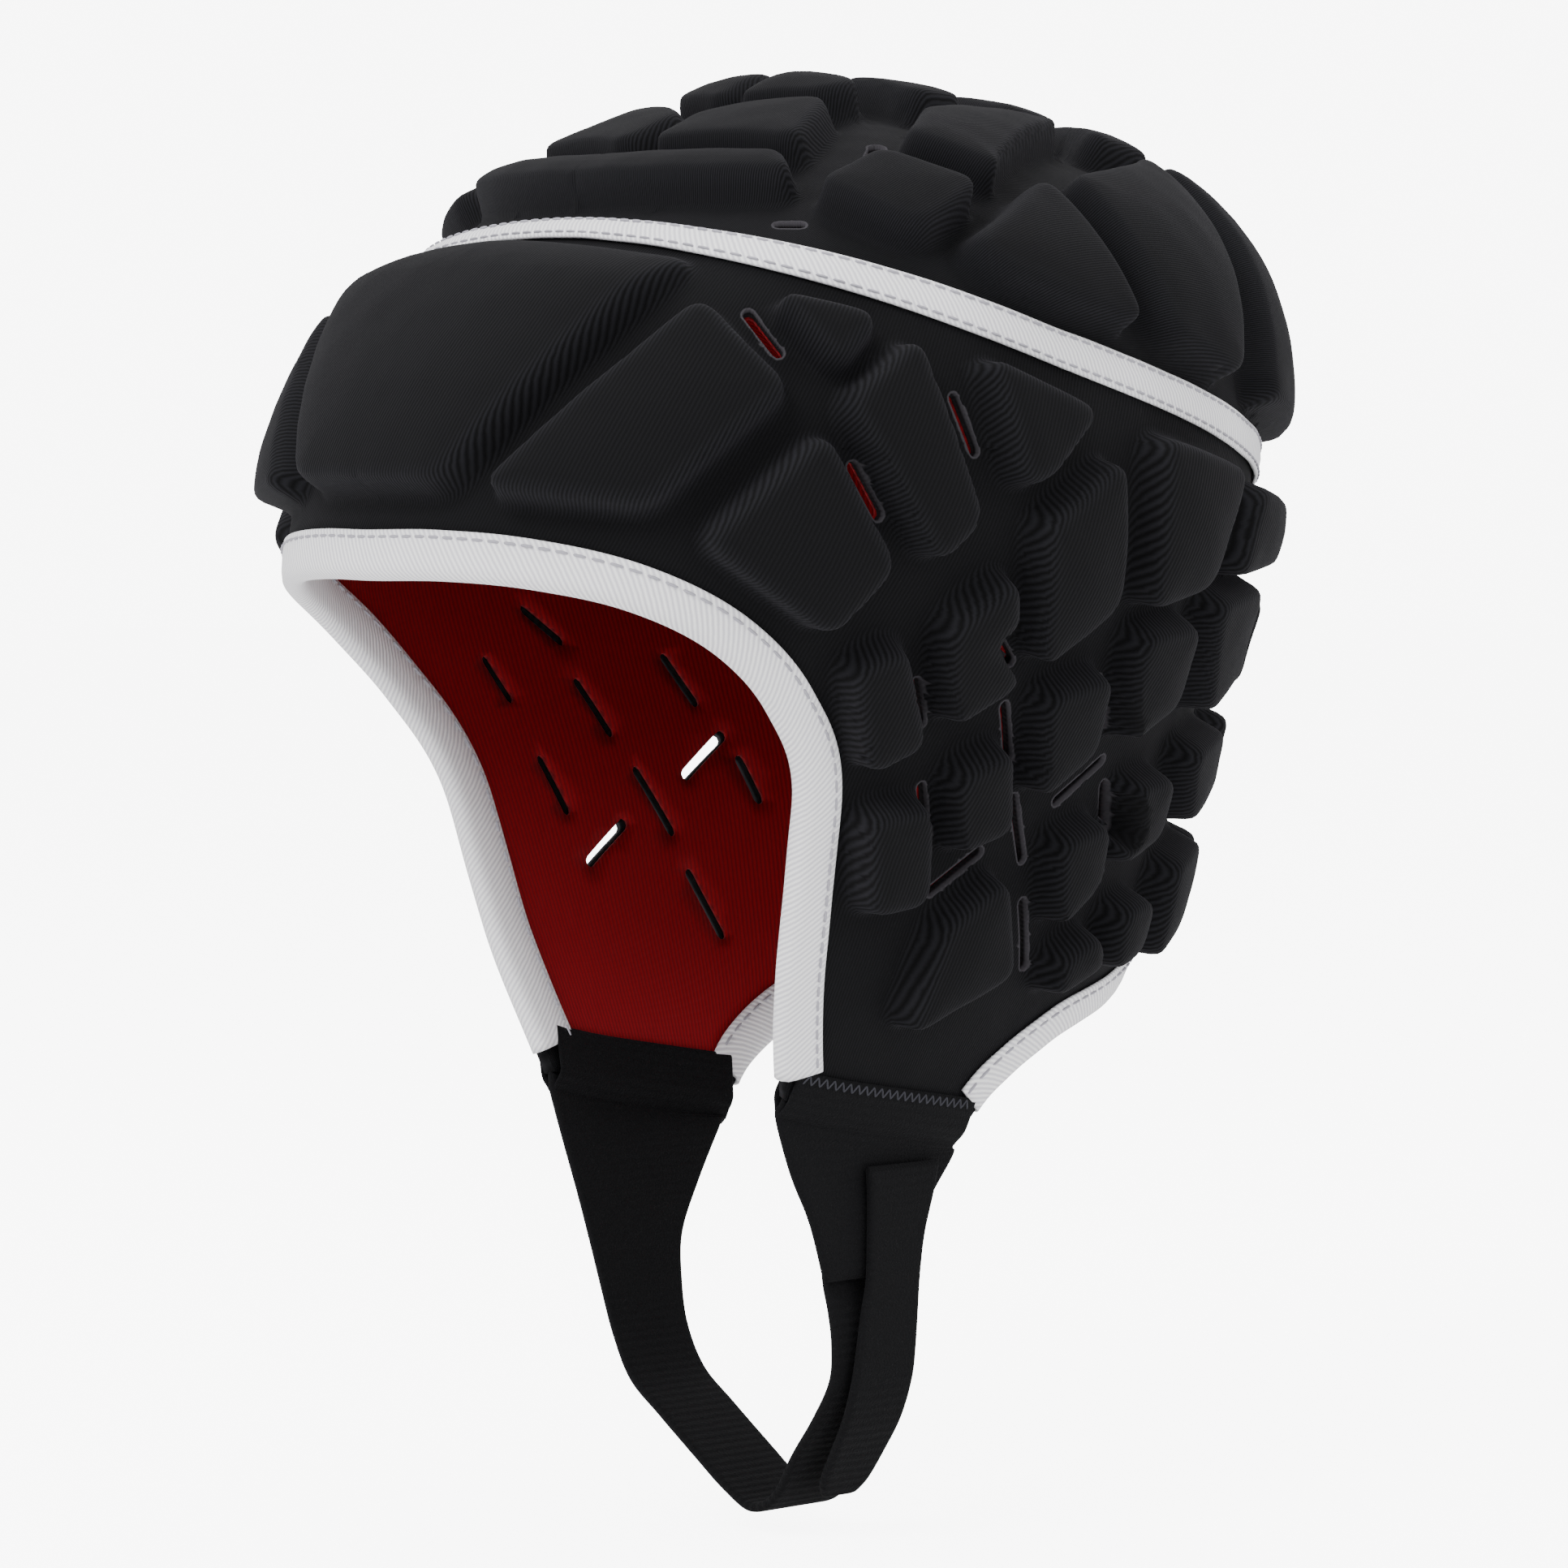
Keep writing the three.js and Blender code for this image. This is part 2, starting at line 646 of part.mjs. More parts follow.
function chartMix(a, b, f, polar) {
  if (!polar) return mixPlaces(a, b, f)
  const flat = (p) => {
    const angle = THREE.MathUtils.degToRad(p.turn)
    return new THREE.Vector2(p.down * Math.sin(angle), p.down * Math.cos(angle))
  }
  const point = flat(a).lerp(flat(b), f)
  return { turn: THREE.MathUtils.radToDeg(Math.atan2(point.x, point.y)), down: point.length() }
}

function padSolid(pad) {
  const corners = [pad.frontLow, pad.rearLow, pad.rearTop, pad.frontTop]
    .map(([turn, down]) => ({ turn, down }))
  const polar = corners.some((corner) => corner.down < POLAR_ZONE)
    && corners.every((corner) => corner.down < POLAR_REACH)
  const outline = []
  corners.forEach((corner, i) => {
    const next = corners[(i + 1) % corners.length]
    const start = onForm(corner.turn, corner.down, PAD_HEIGHT)
    const length = start.distanceTo(onForm(next.turn, next.down, PAD_HEIGHT))
    const cut = Math.min(PAD_CORNER / length, PAD_CUT_MOST)
    const spans = Math.max(1, Math.round((length * (1 - 2 * cut)) / PAD_SPAN))
    for (let k = 0; k <= spans; k += 1) {
      outline.push(chartMix(corner, next, cut + ((1 - 2 * cut) * k) / spans, polar))
    }
  })
  const half = (a, b) => chartMix(a, b, 0.5, polar)
  const centre = half(half(corners[0], corners[2]), half(corners[1], corners[3]))
  const outward = outline.map((place, i) => {
    const before = outline[(i + outline.length - 1) % outline.length]
    const after = outline[(i + 1) % outline.length]
    const along = onForm(after.turn, after.down, 0).sub(onForm(before.turn, before.down, 0)).normalize()
    return along.cross(formNormal(place.turn, place.down)).normalize()
  })
  const ring = (spread, lift) => outline.map((place, i) =>
    onForm(place.turn, place.down, lift).addScaledVector(outward[i], spread))
  const inner = (share, lift) => outline.map((place) => {
    const spot = chartMix(centre, place, share, polar)
    return onForm(spot.turn, spot.down, lift)
  })
  const rings = [inner(PAD_RING_SHARE, -PAD_ROOT), ring(PAD_SLOPE, -PAD_ROOT), ring(0, PAD_HEIGHT)]
  if (outline.length > SMALL_OUTLINE) {
    rings.push(inner(PAD_RING_SHARE, PAD_HEIGHT + PAD_CROWN * PAD_RING_CROWN))
  }
  const foot = onForm(centre.turn, centre.down, -PAD_ROOT)
  const top = onForm(centre.turn, centre.down, PAD_HEIGHT + PAD_CROWN)
  return ringSolid(rings, foot, top)
}

const mirrorCorner = ([turn, down]) => [-turn, down]

function mirrorPad(pad) {
  return {
    name: pad.name,
    frontTop: mirrorCorner(pad.rearTop),
    rearTop: mirrorCorner(pad.frontTop),
    rearLow: mirrorCorner(pad.frontLow),
    frontLow: mirrorCorner(pad.rearLow),
  }
}

function padField(sidePads, middlePads) {
  const all = [...sidePads, ...sidePads.map(mirrorPad), ...middlePads]
  return union(all.map(padSolid))
}

// A prism through both walls along each slit
function slitSolid(slit) {
  const from = { turn: slit.from[0], down: slit.from[1] }
  const to = { turn: slit.to[0], down: slit.to[1] }
  const along = onForm(to.turn, to.down, 0).sub(onForm(from.turn, from.down, 0)).normalize()
  const ring = (lift) => {
    const a = onForm(from.turn, from.down, lift)
    const b = onForm(to.turn, to.down, lift)
    const middle = mixPlaces(from, to, 0.5)
    const side = along.clone().cross(formNormal(middle.turn, middle.down)).normalize()
    const half = SLIT_WIDTH / 2
    return [
      a.clone().addScaledVector(side, half),
      b.clone().addScaledVector(side, half),
      b.clone().addScaledVector(side, -half),
      a.clone().addScaledVector(side, -half),
    ]
  }
  const foot = ring(-STACK - SLIT_CLEAR)
  const top = ring(SLIT_CLEAR)
  const mean = (points) => points
    .reduce((sum, point) => sum.add(point), new THREE.Vector3())
    .divideScalar(points.length)
  return ringSolid([foot, top], mean(foot), mean(top))
}

function slitField(slits) {
  const mirrored = slits.map((slit) => ({
    name: slit.name, from: mirrorCorner(slit.to), to: mirrorCorner(slit.from),
  }))
  return union([...slits, ...mirrored].map(slitSolid))
}

// Tape and bindings

// A profile of [across, lift] points carried along a path of places
function trimSolid(path, profile, isLoop) {
  const sections = path.map((place, i) => {
    const inward = inwardAt(path, i, isLoop)
    return profile.map(([across, lift]) => {
      const spot = strollOnForm(place, inward, across)
      return onForm(spot.turn, spot.down, lift)
    })
  })
  return sweptSolid(sections, profile.map(([x, y]) => new THREE.Vector2(x, y)), isLoop)
}

function stripProfile(width, lift, thickness) {
  const [half, top] = [width / 2, lift + thickness]
  return [[-half, lift], [half, lift], [half, top], [-half, top]]
}

// The folded section that wraps an edge: an outer leg, a fold beyond the edge and an inner leg
function foldProfile(width, thickness, fold) {
  const outer = GAP + thickness
  const under = -SHELL_WALL - GAP
  const inner = under - thickness
  return [
    [width, GAP], [width, outer], [-GAP - fold, outer], [-GAP - fold, inner],
    [width, inner], [width, under], [-GAP, under], [-GAP, GAP],
  ]
}

const seamPath = edgeRound.map((row) => ({ turn: row.seam, down: seamDown(row.seam) }))

function seamTape() {
  return trimSolid(seamPath, stripProfile(TAPE_WIDTH, TAPE_LIFT, TAPE_THICKNESS), true)
}

// Room for the tape between the pads
function tapeChannel() {
  const room = stripProfile(TAPE_WIDTH + 2 * GAP, GAP / 2, PAD_HEIGHT * 2)
  return trimSolid(seamPath, room, true)
}

// An edge path with its last place drawn back from the tab's corner
function drawnBack(path, distance) {
  const last = path[path.length - 1]
  const before = path[path.length - 2]
  const span = onForm(last.turn, last.down, 0).distanceTo(onForm(before.turn, before.down, 0))
  return [...path.slice(0, -1), mixPlaces(last, before, distance / span)]
}

function faceBinding() {
  const left = drawnBack(FACE_EDGE, TAB_OVERLAP + 2 * GAP)
  const right = left.slice(1).reverse().map((place) => ({ turn: -place.turn, down: place.down }))
  const profile = foldProfile(BINDING_WIDTH, BINDING_THICKNESS, BINDING_THICKNESS)
  return trimSolid([...right, ...left], profile, false)
}

function napeBinding() {
  const left = drawnBack([...NAPE_EDGE].reverse(), TAB_OVERLAP + 2 * GAP).reverse()
  const right = left.slice(0, -1).reverse().map((place) => ({ turn: -place.turn, down: place.down }))
  const profile = foldProfile(BINDING_WIDTH, BINDING_THICKNESS, BINDING_THICKNESS)
  return trimSolid([...left, ...right], profile, false)
}

// Ear tabs and straps

function tabClasp(isLeft) {
  const path = isLeft ? TAB_EDGE : [...TAB_EDGE].reverse().map(mirrorPlace)
  return trimSolid(path, foldProfile(TAB_OVERLAP, TAB_THICKNESS, STRAP_THICKNESS), false)
}

const tabLine = onForm(TAB_EDGE[2].turn, TAB_EDGE[2].down, 0).z

function strapPoint(row, share) {
  const offset = (row.front + (row.rear - row.front) * share) * STRAP_WIDTH
  const height = tabLine - row.below * STRAP_DROP
  return new THREE.Vector3(row.across * STRAP_SPREAD, offset - STRAP_SETBACK, height)
}

// A flat band through rows of points that run from its front edge to its rear edge
function bandSolid(rows) {
  const steps = rows[0].length
  const faceUp = (i, k) => {
    const before = rows[Math.max(i - 1, 0)][k]
    const after = rows[Math.min(i + 1, rows.length - 1)][k]
    const across = rows[i][steps - 1].clone().sub(rows[i][0])
    return after.clone().sub(before).cross(across).normalize()
  }
  const sections = rows.map((row, i) => {
    const half = STRAP_THICKNESS / 2
    const outer = row.map((point, k) => point.clone().addScaledVector(faceUp(i, k), half))
    const inner = row.map((point, k) => point.clone().addScaledVector(faceUp(i, k), -half)).reverse()
    return [...inner, ...outer]
  })
  const outline = []
  for (let k = steps - 1; k >= 0; k -= 1) outline.push(new THREE.Vector2(k, 0))
  for (let k = 0; k < steps; k += 1) outline.push(new THREE.Vector2(k, 1))
  return sweptSolid(sections, outline, false)
}

function strapRows(table, steps) {
  return table.map((row) => Array.from({ length: steps }, (_, k) => strapPoint(row, k / (steps - 1))))
}

// The rows at a tab's root, along the panel's edge from its front corner to its rear one
function rootRow(isLeft, beyond) {
  const path = isLeft ? TAB_EDGE : TAB_EDGE.map(mirrorPlace)
  const points = path.map((place, i) => {
    const inward = inwardAt(path, i, false).multiplyScalar(isLeft ? 1 : -1)
    const spot = strollOnForm(place, inward, -beyond)
    return onForm(spot.turn, spot.down, -SHELL_WALL / 2)
  })
  const stride = (points.length - 1) / (BAND_STEPS - 1)
  return points.filter((_, i) => i % stride === 0)
}

function tabWithBand(isLeft, table) {
  const root = [
    rootRow(isLeft, GAP + STRAP_THICKNESS / 2),
    rootRow(isLeft, GAP + STRAP_THICKNESS * 2),
  ]
  const band = bandSolid([...root, ...strapRows(table, BAND_STEPS)])
  return tabClasp(isLeft).add(band)
}

// Nodes

const slits = { lower: slitField(LOWER_SLITS), crown: slitField(CROWN_SLITS) }
const channel = tapeChannel()
const lowerPlaces = lowerColumns(insetLoop(edgeRound, BINDING_WIDTH), edgeRound)
const liningBorder = insetLoop(edgeRound, BINDING_WIDTH + GAP)
const liningPlaces = lowerPlaces.map((column, i) => [...column.slice(0, -2), liningBorder[i]])
const crownPlaces = crownColumns()

const lowerShell = shellSolid(lowerPlaces, 0, -SHELL_WALL)
const crownShell = shellSolid(crownPlaces, 0, -SHELL_WALL)
const liningTop = -SHELL_WALL - GAP
// The pads are cut off inside the shell's wall, so that they join it without reaching the lining
const underWall = (places) => shellSolid(places, -PAD_KEY, -PAD_ROOT * 2)
const lowerPads = padField(LOWER_SIDE_PADS, LOWER_MIDDLE_PADS).subtract(channel)
  .subtract(underWall(lowerPlaces))
const crownPads = padField(CROWN_SIDE_PADS, CROWN_MIDDLE_PADS).subtract(channel)
  .subtract(underWall(crownPlaces))

// What the folded pieces keep clear of, a little way off the panel's faces
const clearOfPanel = shellSolid(lowerPlaces, GAP / 2, -SHELL_WALL - GAP / 2)

const solids = {
  lower_panel: [lowerShell.add(lowerPads).subtract(slits.lower), BLACK_KNIT],
  crown_panel: [crownShell.add(crownPads).subtract(slits.crown), BLACK_KNIT],
  lower_lining: [shellSolid(liningPlaces, liningTop, -STACK).subtract(slits.lower), RED_KNIT],
  crown_lining: [shellSolid(crownPlaces, liningTop, -STACK).subtract(slits.crown), RED_KNIT],
  seam_tape: [seamTape(), WHITE_TWILL],
  face_binding: [faceBinding().subtract(clearOfPanel), WHITE_TWILL],
  nape_binding: [napeBinding().subtract(clearOfPanel), WHITE_TWILL],
  right_strap: [tabWithBand(false, RIGHT_STRAP), BLACK_LOOP],
  left_tab: [tabWithBand(true, LEFT_TAB), BLACK_LOOP],
  left_strap: [bandSolid(strapRows(LEFT_STRAP, 2)), BLACK_LOOP],
}

const cap = new THREE.Group()
for (const [name, [solid, finish]] of Object.entries(solids)) {
  const material = new THREE.MeshStandardMaterial({ ...finish, metalness: 0 })
  const mesh = new THREE.Mesh(toGeometry(solid), material)
  mesh.name = name
  cap.add(mesh)
}

export default cap
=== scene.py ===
import json
import math
import time

import bmesh
import bpy
import numpy as np
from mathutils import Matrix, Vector
from mathutils.geometry import delaunay_2d_cdt

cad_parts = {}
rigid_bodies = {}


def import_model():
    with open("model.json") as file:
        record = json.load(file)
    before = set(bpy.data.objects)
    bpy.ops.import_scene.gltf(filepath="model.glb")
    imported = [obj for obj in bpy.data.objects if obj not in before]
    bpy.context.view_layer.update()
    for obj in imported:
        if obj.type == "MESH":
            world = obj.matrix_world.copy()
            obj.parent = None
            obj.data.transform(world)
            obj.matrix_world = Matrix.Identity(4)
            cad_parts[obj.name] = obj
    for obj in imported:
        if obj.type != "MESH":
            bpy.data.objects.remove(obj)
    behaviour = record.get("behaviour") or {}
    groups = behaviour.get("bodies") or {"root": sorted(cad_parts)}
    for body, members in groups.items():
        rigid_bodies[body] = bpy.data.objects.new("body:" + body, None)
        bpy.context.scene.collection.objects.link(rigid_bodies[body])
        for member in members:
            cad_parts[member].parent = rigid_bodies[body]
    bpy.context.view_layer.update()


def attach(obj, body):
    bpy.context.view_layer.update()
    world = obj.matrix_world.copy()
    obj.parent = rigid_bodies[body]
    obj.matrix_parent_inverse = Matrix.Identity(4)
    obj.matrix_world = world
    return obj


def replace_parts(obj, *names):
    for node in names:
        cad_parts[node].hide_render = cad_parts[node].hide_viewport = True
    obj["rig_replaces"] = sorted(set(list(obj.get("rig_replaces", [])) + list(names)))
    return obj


bl_info = {
    "name": "Rugby scrum cap",
    "version": (1, 0, 0),
    "blender": (4, 5, 0),
    "location": "3D View > Sidebar > Scrum cap",
    "description": "Padded rugby scrum cap with a red lining, white twill bindings and a chin strap",
    "category": "Add Mesh",
}

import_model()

# Lengths are in millimetres and become metres when a mesh is made. The wearer looks along -Y, +X is
# the wearer's left and +Z is up. A place on the cap is a turn in degrees from the front and a share
# of the way down from the crown's middle to the ear tabs' ends.
MM = 0.001

# Head form: the outer face of the groove floor
HALF_WIDTH = 82.5
FRONT_REACH = 114.5
BACK_REACH = 109.0
FORM_DEPTH = 222.0
SQUARENESS = 2.25
SHELL_WALL = 2.7
LINING_WALL = 1.0
GAP = 0.3
STACK = SHELL_WALL + GAP + LINING_WALL

# Each row: depth as a share of the form's depth, then side, front and back as shares of their reach.
FORM = np.array([
    (0, 0, 0, 0),
    (0.0225, 0.364, 0.122, 0.431),
    (0.072, 0.679, 0.367, 0.78),
    (0.153, 0.903, 0.672, 0.945),
    (0.27, 1, 0.869, 1),
    (0.401, 0.982, 0.978, 0.972),
    (0.527, 0.855, 1, 0.927),
    (0.649, 0.727, 0.926, 0.899),
    (0.775, 0.63, 0.795, 0.844),
    (0.892, 0.521, 0.69, 0.725),
    (1, 0.436, 0.576, 0.578),
])

# The crown seam, as a share down at the front and its fall towards the back
SEAM_FRONT = 0.266
SEAM_FALL = 0.205

# The lower panel's edge on the wearer's left as (turn, share down)
FACE_EDGE = [(0, 0.524), (14, 0.524), (28, 0.53), (41, 0.546), (52, 0.577), (60, 0.625), (64.5, 0.692),
             (62.5, 0.82), (63.5, 0.925)]
TAB_EDGE = [(63.5, 0.925), (73, 0.937), (84, 0.948), (94, 0.957), (103.5, 0.965)]
NAPE_EDGE = [(103.5, 0.965), (108.5, 0.93), (119, 0.894), (131.5, 0.876), (145, 0.861), (157, 0.852),
             (168, 0.847), (180, 0.846)]

# Foam pads on the wearer's left, each by the corners of its top: front top, rear top, rear low and
# front low, as (turn, share down).
LOWER_PADS = {
    "forehead": [(-35, 0.307), (0, 0.291), (35, 0.307), (14, 0.466), (-14, 0.466)],
    "brow": [(40, 0.348), (52, 0.404), (40, 0.478), (21, 0.47)],
    "temple": [(57, 0.434), (67, 0.514), (62, 0.558), (47, 0.5)],
    "seam_front": [(49, 0.341), (61, 0.356), (57.5, 0.386), (54, 0.37)],
    "side_front": [(59, 0.412), (66, 0.37), (76, 0.484), (72, 0.51)],
    "seam_side": [(76, 0.382), (91, 0.415), (84, 0.458), (81, 0.458)],
    "side_rear": [(85, 0.487), (95, 0.447), (98, 0.54), (89, 0.583)],
    "seam_rear": [(102, 0.433), (118, 0.453), (114, 0.528), (104, 0.543)],
    "seam_back": [(124, 0.465), (141, 0.478), (140, 0.512), (121, 0.522)],
    "seam_nape": [(148, 0.486), (172, 0.49), (172, 0.512), (148, 0.514)],
    "ear_1a": [(66, 0.585), (71, 0.57), (76, 0.64), (70, 0.66)],
    "ear_2a": [(71, 0.698), (79, 0.69), (80, 0.762), (72, 0.768)],
    "ear_1b": [(76, 0.556), (82, 0.522), (86, 0.598), (79, 0.626)],
    "ear_2b": [(82, 0.668), (88, 0.648), (91, 0.71), (84, 0.726)],
    "ear_3b": [(84, 0.782), (92, 0.748), (97, 0.82), (81, 0.862)],
    "rear_1c": [(92, 0.609), (101, 0.594), (102, 0.65), (95, 0.686)],
    "rear_2c": [(101, 0.725), (109, 0.711), (110, 0.755), (104, 0.787)],
    "rear_3c": [(107, 0.818), (113, 0.796), (116, 0.82), (108, 0.842)],
    "rear_1d": [(105, 0.566), (115, 0.557), (116, 0.616), (108, 0.646)],
    "rear_2d": [(113, 0.686), (121, 0.677), (122, 0.724), (114, 0.744)],
    "rear_3d": [(118, 0.782), (125, 0.773), (126, 0.812), (120, 0.826)],
    "rear_1e": [(119, 0.545), (132, 0.532), (136, 0.598), (126, 0.628)],
    "rear_2e": [(126, 0.662), (138, 0.645), (142, 0.69), (131, 0.718)],
    "rear_3e": [(131, 0.754), (143, 0.734), (146, 0.795), (134, 0.822)],
    "back_1": [(144, 0.545), (163, 0.545), (163, 0.61), (147, 0.61)],
    "back_2": [(148, 0.64), (164, 0.64), (164, 0.702), (152, 0.704)],
    "back_3": [(152, 0.735), (165, 0.735), (165, 0.798), (154, 0.802)],
    "middle_1": [(171, 0.545), (189, 0.545), (189, 0.61), (171, 0.61)],
    "middle_2": [(172, 0.64), (188, 0.64), (188, 0.702), (172, 0.702)],
    "middle_3": [(173, 0.735), (187, 0.735), (187, 0.798), (173, 0.798)],
}
CROWN_PADS = {
    "front_low": [(-40, 0.213), (40, 0.213), (44, 0.238), (-44, 0.238)],
    "front_high": [(4, 0.142), (48, 0.114), (41, 0.194), (5, 0.19)],
    "side_low": [(60, 0.21), (79, 0.246), (66, 0.288), (50, 0.248)],
    "side_high": [(98, 0.128), (129, 0.147), (87, 0.226), (68, 0.188)],
    "top_front": [(120, 0.012), (92, 0.07), (50, 0.09), (5, 0.097)],
    "top_middle": [(170, 0.058), (124, 0.096), (106, 0.088), (155, 0.028)],
    "top_rear": [(175, 0.114), (144, 0.14), (130, 0.118), (172, 0.08)],
    "back_high": [(133, 0.166), (172, 0.146), (172, 0.19), (141, 0.198)],
    "seam_side": [(75, 0.298), (95, 0.238), (100, 0.354), (79, 0.318)],
    "seam_rear": [(101, 0.234), (131, 0.2), (117, 0.388), (105, 0.358)],
    "back_low": [(140, 0.21), (159, 0.214), (152, 0.43), (126, 0.4)],
    "back_middle": [(167, 0.215), (193, 0.215), (198, 0.44), (162, 0.44)],
}

# Ventilation slits on the wearer's left, from one end to the other
LOWER_SLITS = {
    "brow": [(45.5, 0.345), (50.5, 0.373)],
    "temple": [(62, 0.452), (66, 0.484)],
    "side": [(73.5, 0.405), (76.8, 0.441)],
    "ear_1": [(84, 0.566), (88, 0.59)],
    "ear_2": [(76, 0.604), (78, 0.634)],
    "ear_3": [(89, 0.624), (92, 0.664)],
    "ear_4": [(80, 0.684), (82, 0.722)],
    "ear_5": [(95, 0.696), (99, 0.742)],
    "ear_6": [(91, 0.735), (84, 0.762)],
    "rear_1": [(101, 0.776), (105, 0.826)],
    "rear_2": [(104, 0.606), (107, 0.642)],
    "rear_3": [(110, 0.67), (103, 0.7)],
    "rear_4": [(112, 0.69), (114, 0.72)],
}
CROWN_SLITS = {
    "front": [(51, 0.222), (65, 0.148)],
    "seam": [(44.5, 0.264), (48, 0.264)],
    "back": [(135.5, 0.205), (131, 0.25)],
}

SLIT_WIDTH = 2.5
WIDE_SLITS = {"front": 3.8}

# Strap rows below the tabs: across as a share of the spread, below of the drop, front and rear edge
# of the strap's width.
RIGHT_STRAP = [
    (-0.93, 0.11, -1.02, 1.1), (-0.9, 0.24, -0.88, 0.76), (-0.88, 0.37, -0.74, 0.5),
    (-0.86, 0.49, -0.62, 0.46), (-0.82, 0.61, -0.52, 0.48), (-0.68, 0.72, -0.5, 0.5),
    (-0.42, 0.8, -0.5, 0.5), (-0.11, 0.89, -0.5, 0.5), (0.14, 0.96, -0.5, 0.5), (0.36, 1, -0.5, 0.5),
    (0.56, 0.96, -0.5, 0.5), (0.73, 0.85, -0.5, 0.5), (0.9, 0.75, -0.49, 0.48),
    (1.02, 0.65, -0.46, 0.46), (1.02, 0.56, -0.43, 0.43), (0.98, 0.48, -0.41, 0.4),
    (0.925, 0.4, -0.4, 0.38), (0.915, 0.3, -0.4, 0.38), (0.91, 0.2, -0.4, 0.38),
]
LEFT_TAB = [(0.975, 0.12, -0.92, 1.28), (0.99, 0.25, -0.68, 0.86), (1, 0.4, -0.5, 0.64)]
LEFT_STRAP = [
    (1.045, 0.12, 0, 0.98), (1.055, 0.2, 0, 0.88), (1.065, 0.3, -0.02, 0.74), (1.075, 0.4, -0.05, 0.66),
    (1.095, 0.48, -0.15, 0.6), (1.115, 0.56, -0.24, 0.54), (1.115, 0.65, -0.31, 0.49),
    (1.05, 0.75, -0.33, 0.45), (0.94, 0.84, -0.32, 0.4), (0.83, 0.92, -0.28, 0.34),
    (0.77, 0.96, -0.16, 0.22),
]
STRAP_DROP = 83.0
STRAP_SPREAD = 36.0
STRAP_WIDTH = 21.0
STRAP_SETBACK = 11.5


# Head form functions

def form_level(down):
    """Depth, side, front and back reach in millimetres at a share down, by a smooth curve through FORM."""
    first = FORM[1] * (1, -1, -1, -1)
    last = 2 * FORM[-1] - FORM[-2]
    rows = np.vstack([first, FORM, last])
    place = np.clip(np.asarray(down, float), 0, 1 - 1e-9) * (len(FORM) - 1)
    i = place.astype(int)
    f = (place - i)[..., None]
    p0, p1, p2, p3 = rows[i], rows[i + 1], rows[i + 2], rows[i + 3]
    shares = 0.5 * (2 * p1 + (p2 - p0) * f + (2 * p0 - 5 * p1 + 4 * p2 - p3) * f ** 2
                    + (3 * p1 - p0 - 3 * p2 + p3) * f ** 3)
    return shares * (FORM_DEPTH, HALF_WIDTH, FRONT_REACH, BACK_REACH)


def form_floor(turn, down):
    """Points of the groove floor's outer face."""
    turn, down = np.broadcast_arrays(np.asarray(turn, float), np.asarray(down, float))
    below, side, front, back = np.moveaxis(form_level(down), -1, 0)
    angle = np.radians(turn)
    c, s = np.cos(angle), np.sin(angle)
    k = (np.abs(c) ** SQUARENESS + np.abs(s) ** SQUARENESS) ** (-1 / SQUARENESS)
    reach = np.where(c > 0, front, back)
    return np.stack([side * s * k, -reach * c * k, STACK - below], -1)


def form_slopes(turn, down):
    """Change of the floor's point per degree of turn and per unit of share."""
    at = np.maximum(np.asarray(down, float), 0.006)
    along_turn = form_floor(turn + 0.5, at) - form_floor(turn - 0.5, at)
    along_down = (form_floor(turn, at + 0.004) - form_floor(turn, at - 0.004)) / 0.008
    return along_turn, along_down


def unit(vectors):
    return vectors / np.maximum(np.linalg.norm(vectors, axis=-1, keepdims=True), 1e-12)


def form_normal(turn, down):
    along_turn, along_down = form_slopes(turn, down)
    normal = unit(np.cross(along_down, along_turn))
    pole = (np.asarray(down, float) < 0.001)[..., None]
    return np.where(pole, (0.0, 0.0, 1.0), normal)


def on_form(turn, down, lift):
    turn, down = np.asarray(turn, float), np.asarray(down, float)
    return form_floor(turn, down) + form_normal(turn, down) * np.asarray(lift, float)[..., None]


def stroll(turn, down, direction, distance, steps=3):
    """Places reached by going a distance over the form along tangent directions."""
    turn, down = np.array(turn, float), np.array(down, float)
    step = np.asarray(distance, float) / steps
    for _ in range(steps):
        t, d = form_slopes(turn, down)
        tt, td, dd = (t * t).sum(-1), (t * d).sum(-1), (d * d).sum(-1)
        wt, wd = (direction * t).sum(-1) * step, (direction * d).sum(-1) * step
        det = tt * dd - td * td
        turn, down = turn + (wt * dd - wd * td) / det, down + (wd * tt - wt * td) / det
    return turn, down


def seam_down(turn):
    return SEAM_FRONT + SEAM_FALL * (1 - np.cos(np.radians(turn))) / 2


# Curves

def smooth_path(points, ends=None):
    """Fine points on a Catmull-Rom curve through the given points."""
    p = np.asarray(points, float)
    before, after = ends if ends else (2 * p[0] - p[1], 2 * p[-1] - p[-2])
    q = np.vstack([before, p, after])
    u = np.linspace(0, len(p) - 1 - 1e-9, 40 * len(p))
    i = u.astype(int)
    f = (u - i)[:, None]
    p0, p1, p2, p3 = q[i], q[i + 1], q[i + 2], q[i + 3]
    return 0.5 * (2 * p1 + (p2 - p0) * f + (2 * p0 - 5 * p1 + 4 * p2 - p3) * f ** 2
                  + (3 * p1 - p0 - 3 * p2 + p3) * f ** 3)


def even_places(fine, spacing):
    """Places along a fine line of places, a given distance in millimetres apart on the form."""
    xyz = form_floor(fine[:, 0], fine[:, 1])
    length = np.concatenate([[0], np.cumsum(np.linalg.norm(np.diff(xyz, axis=0), axis=1))])
    at = np.linspace(0, length[-1], max(3, int(round(length[-1] / spacing)) + 1))
    return np.stack([np.interp(at, length, fine[:, k]) for k in range(2)], -1)


def place_line(rows, spacing, ends=None):
    """Places along a smooth curve through rows, a given distance in millimetres apart on the form."""
    return even_places(smooth_path(rows, ends), spacing)


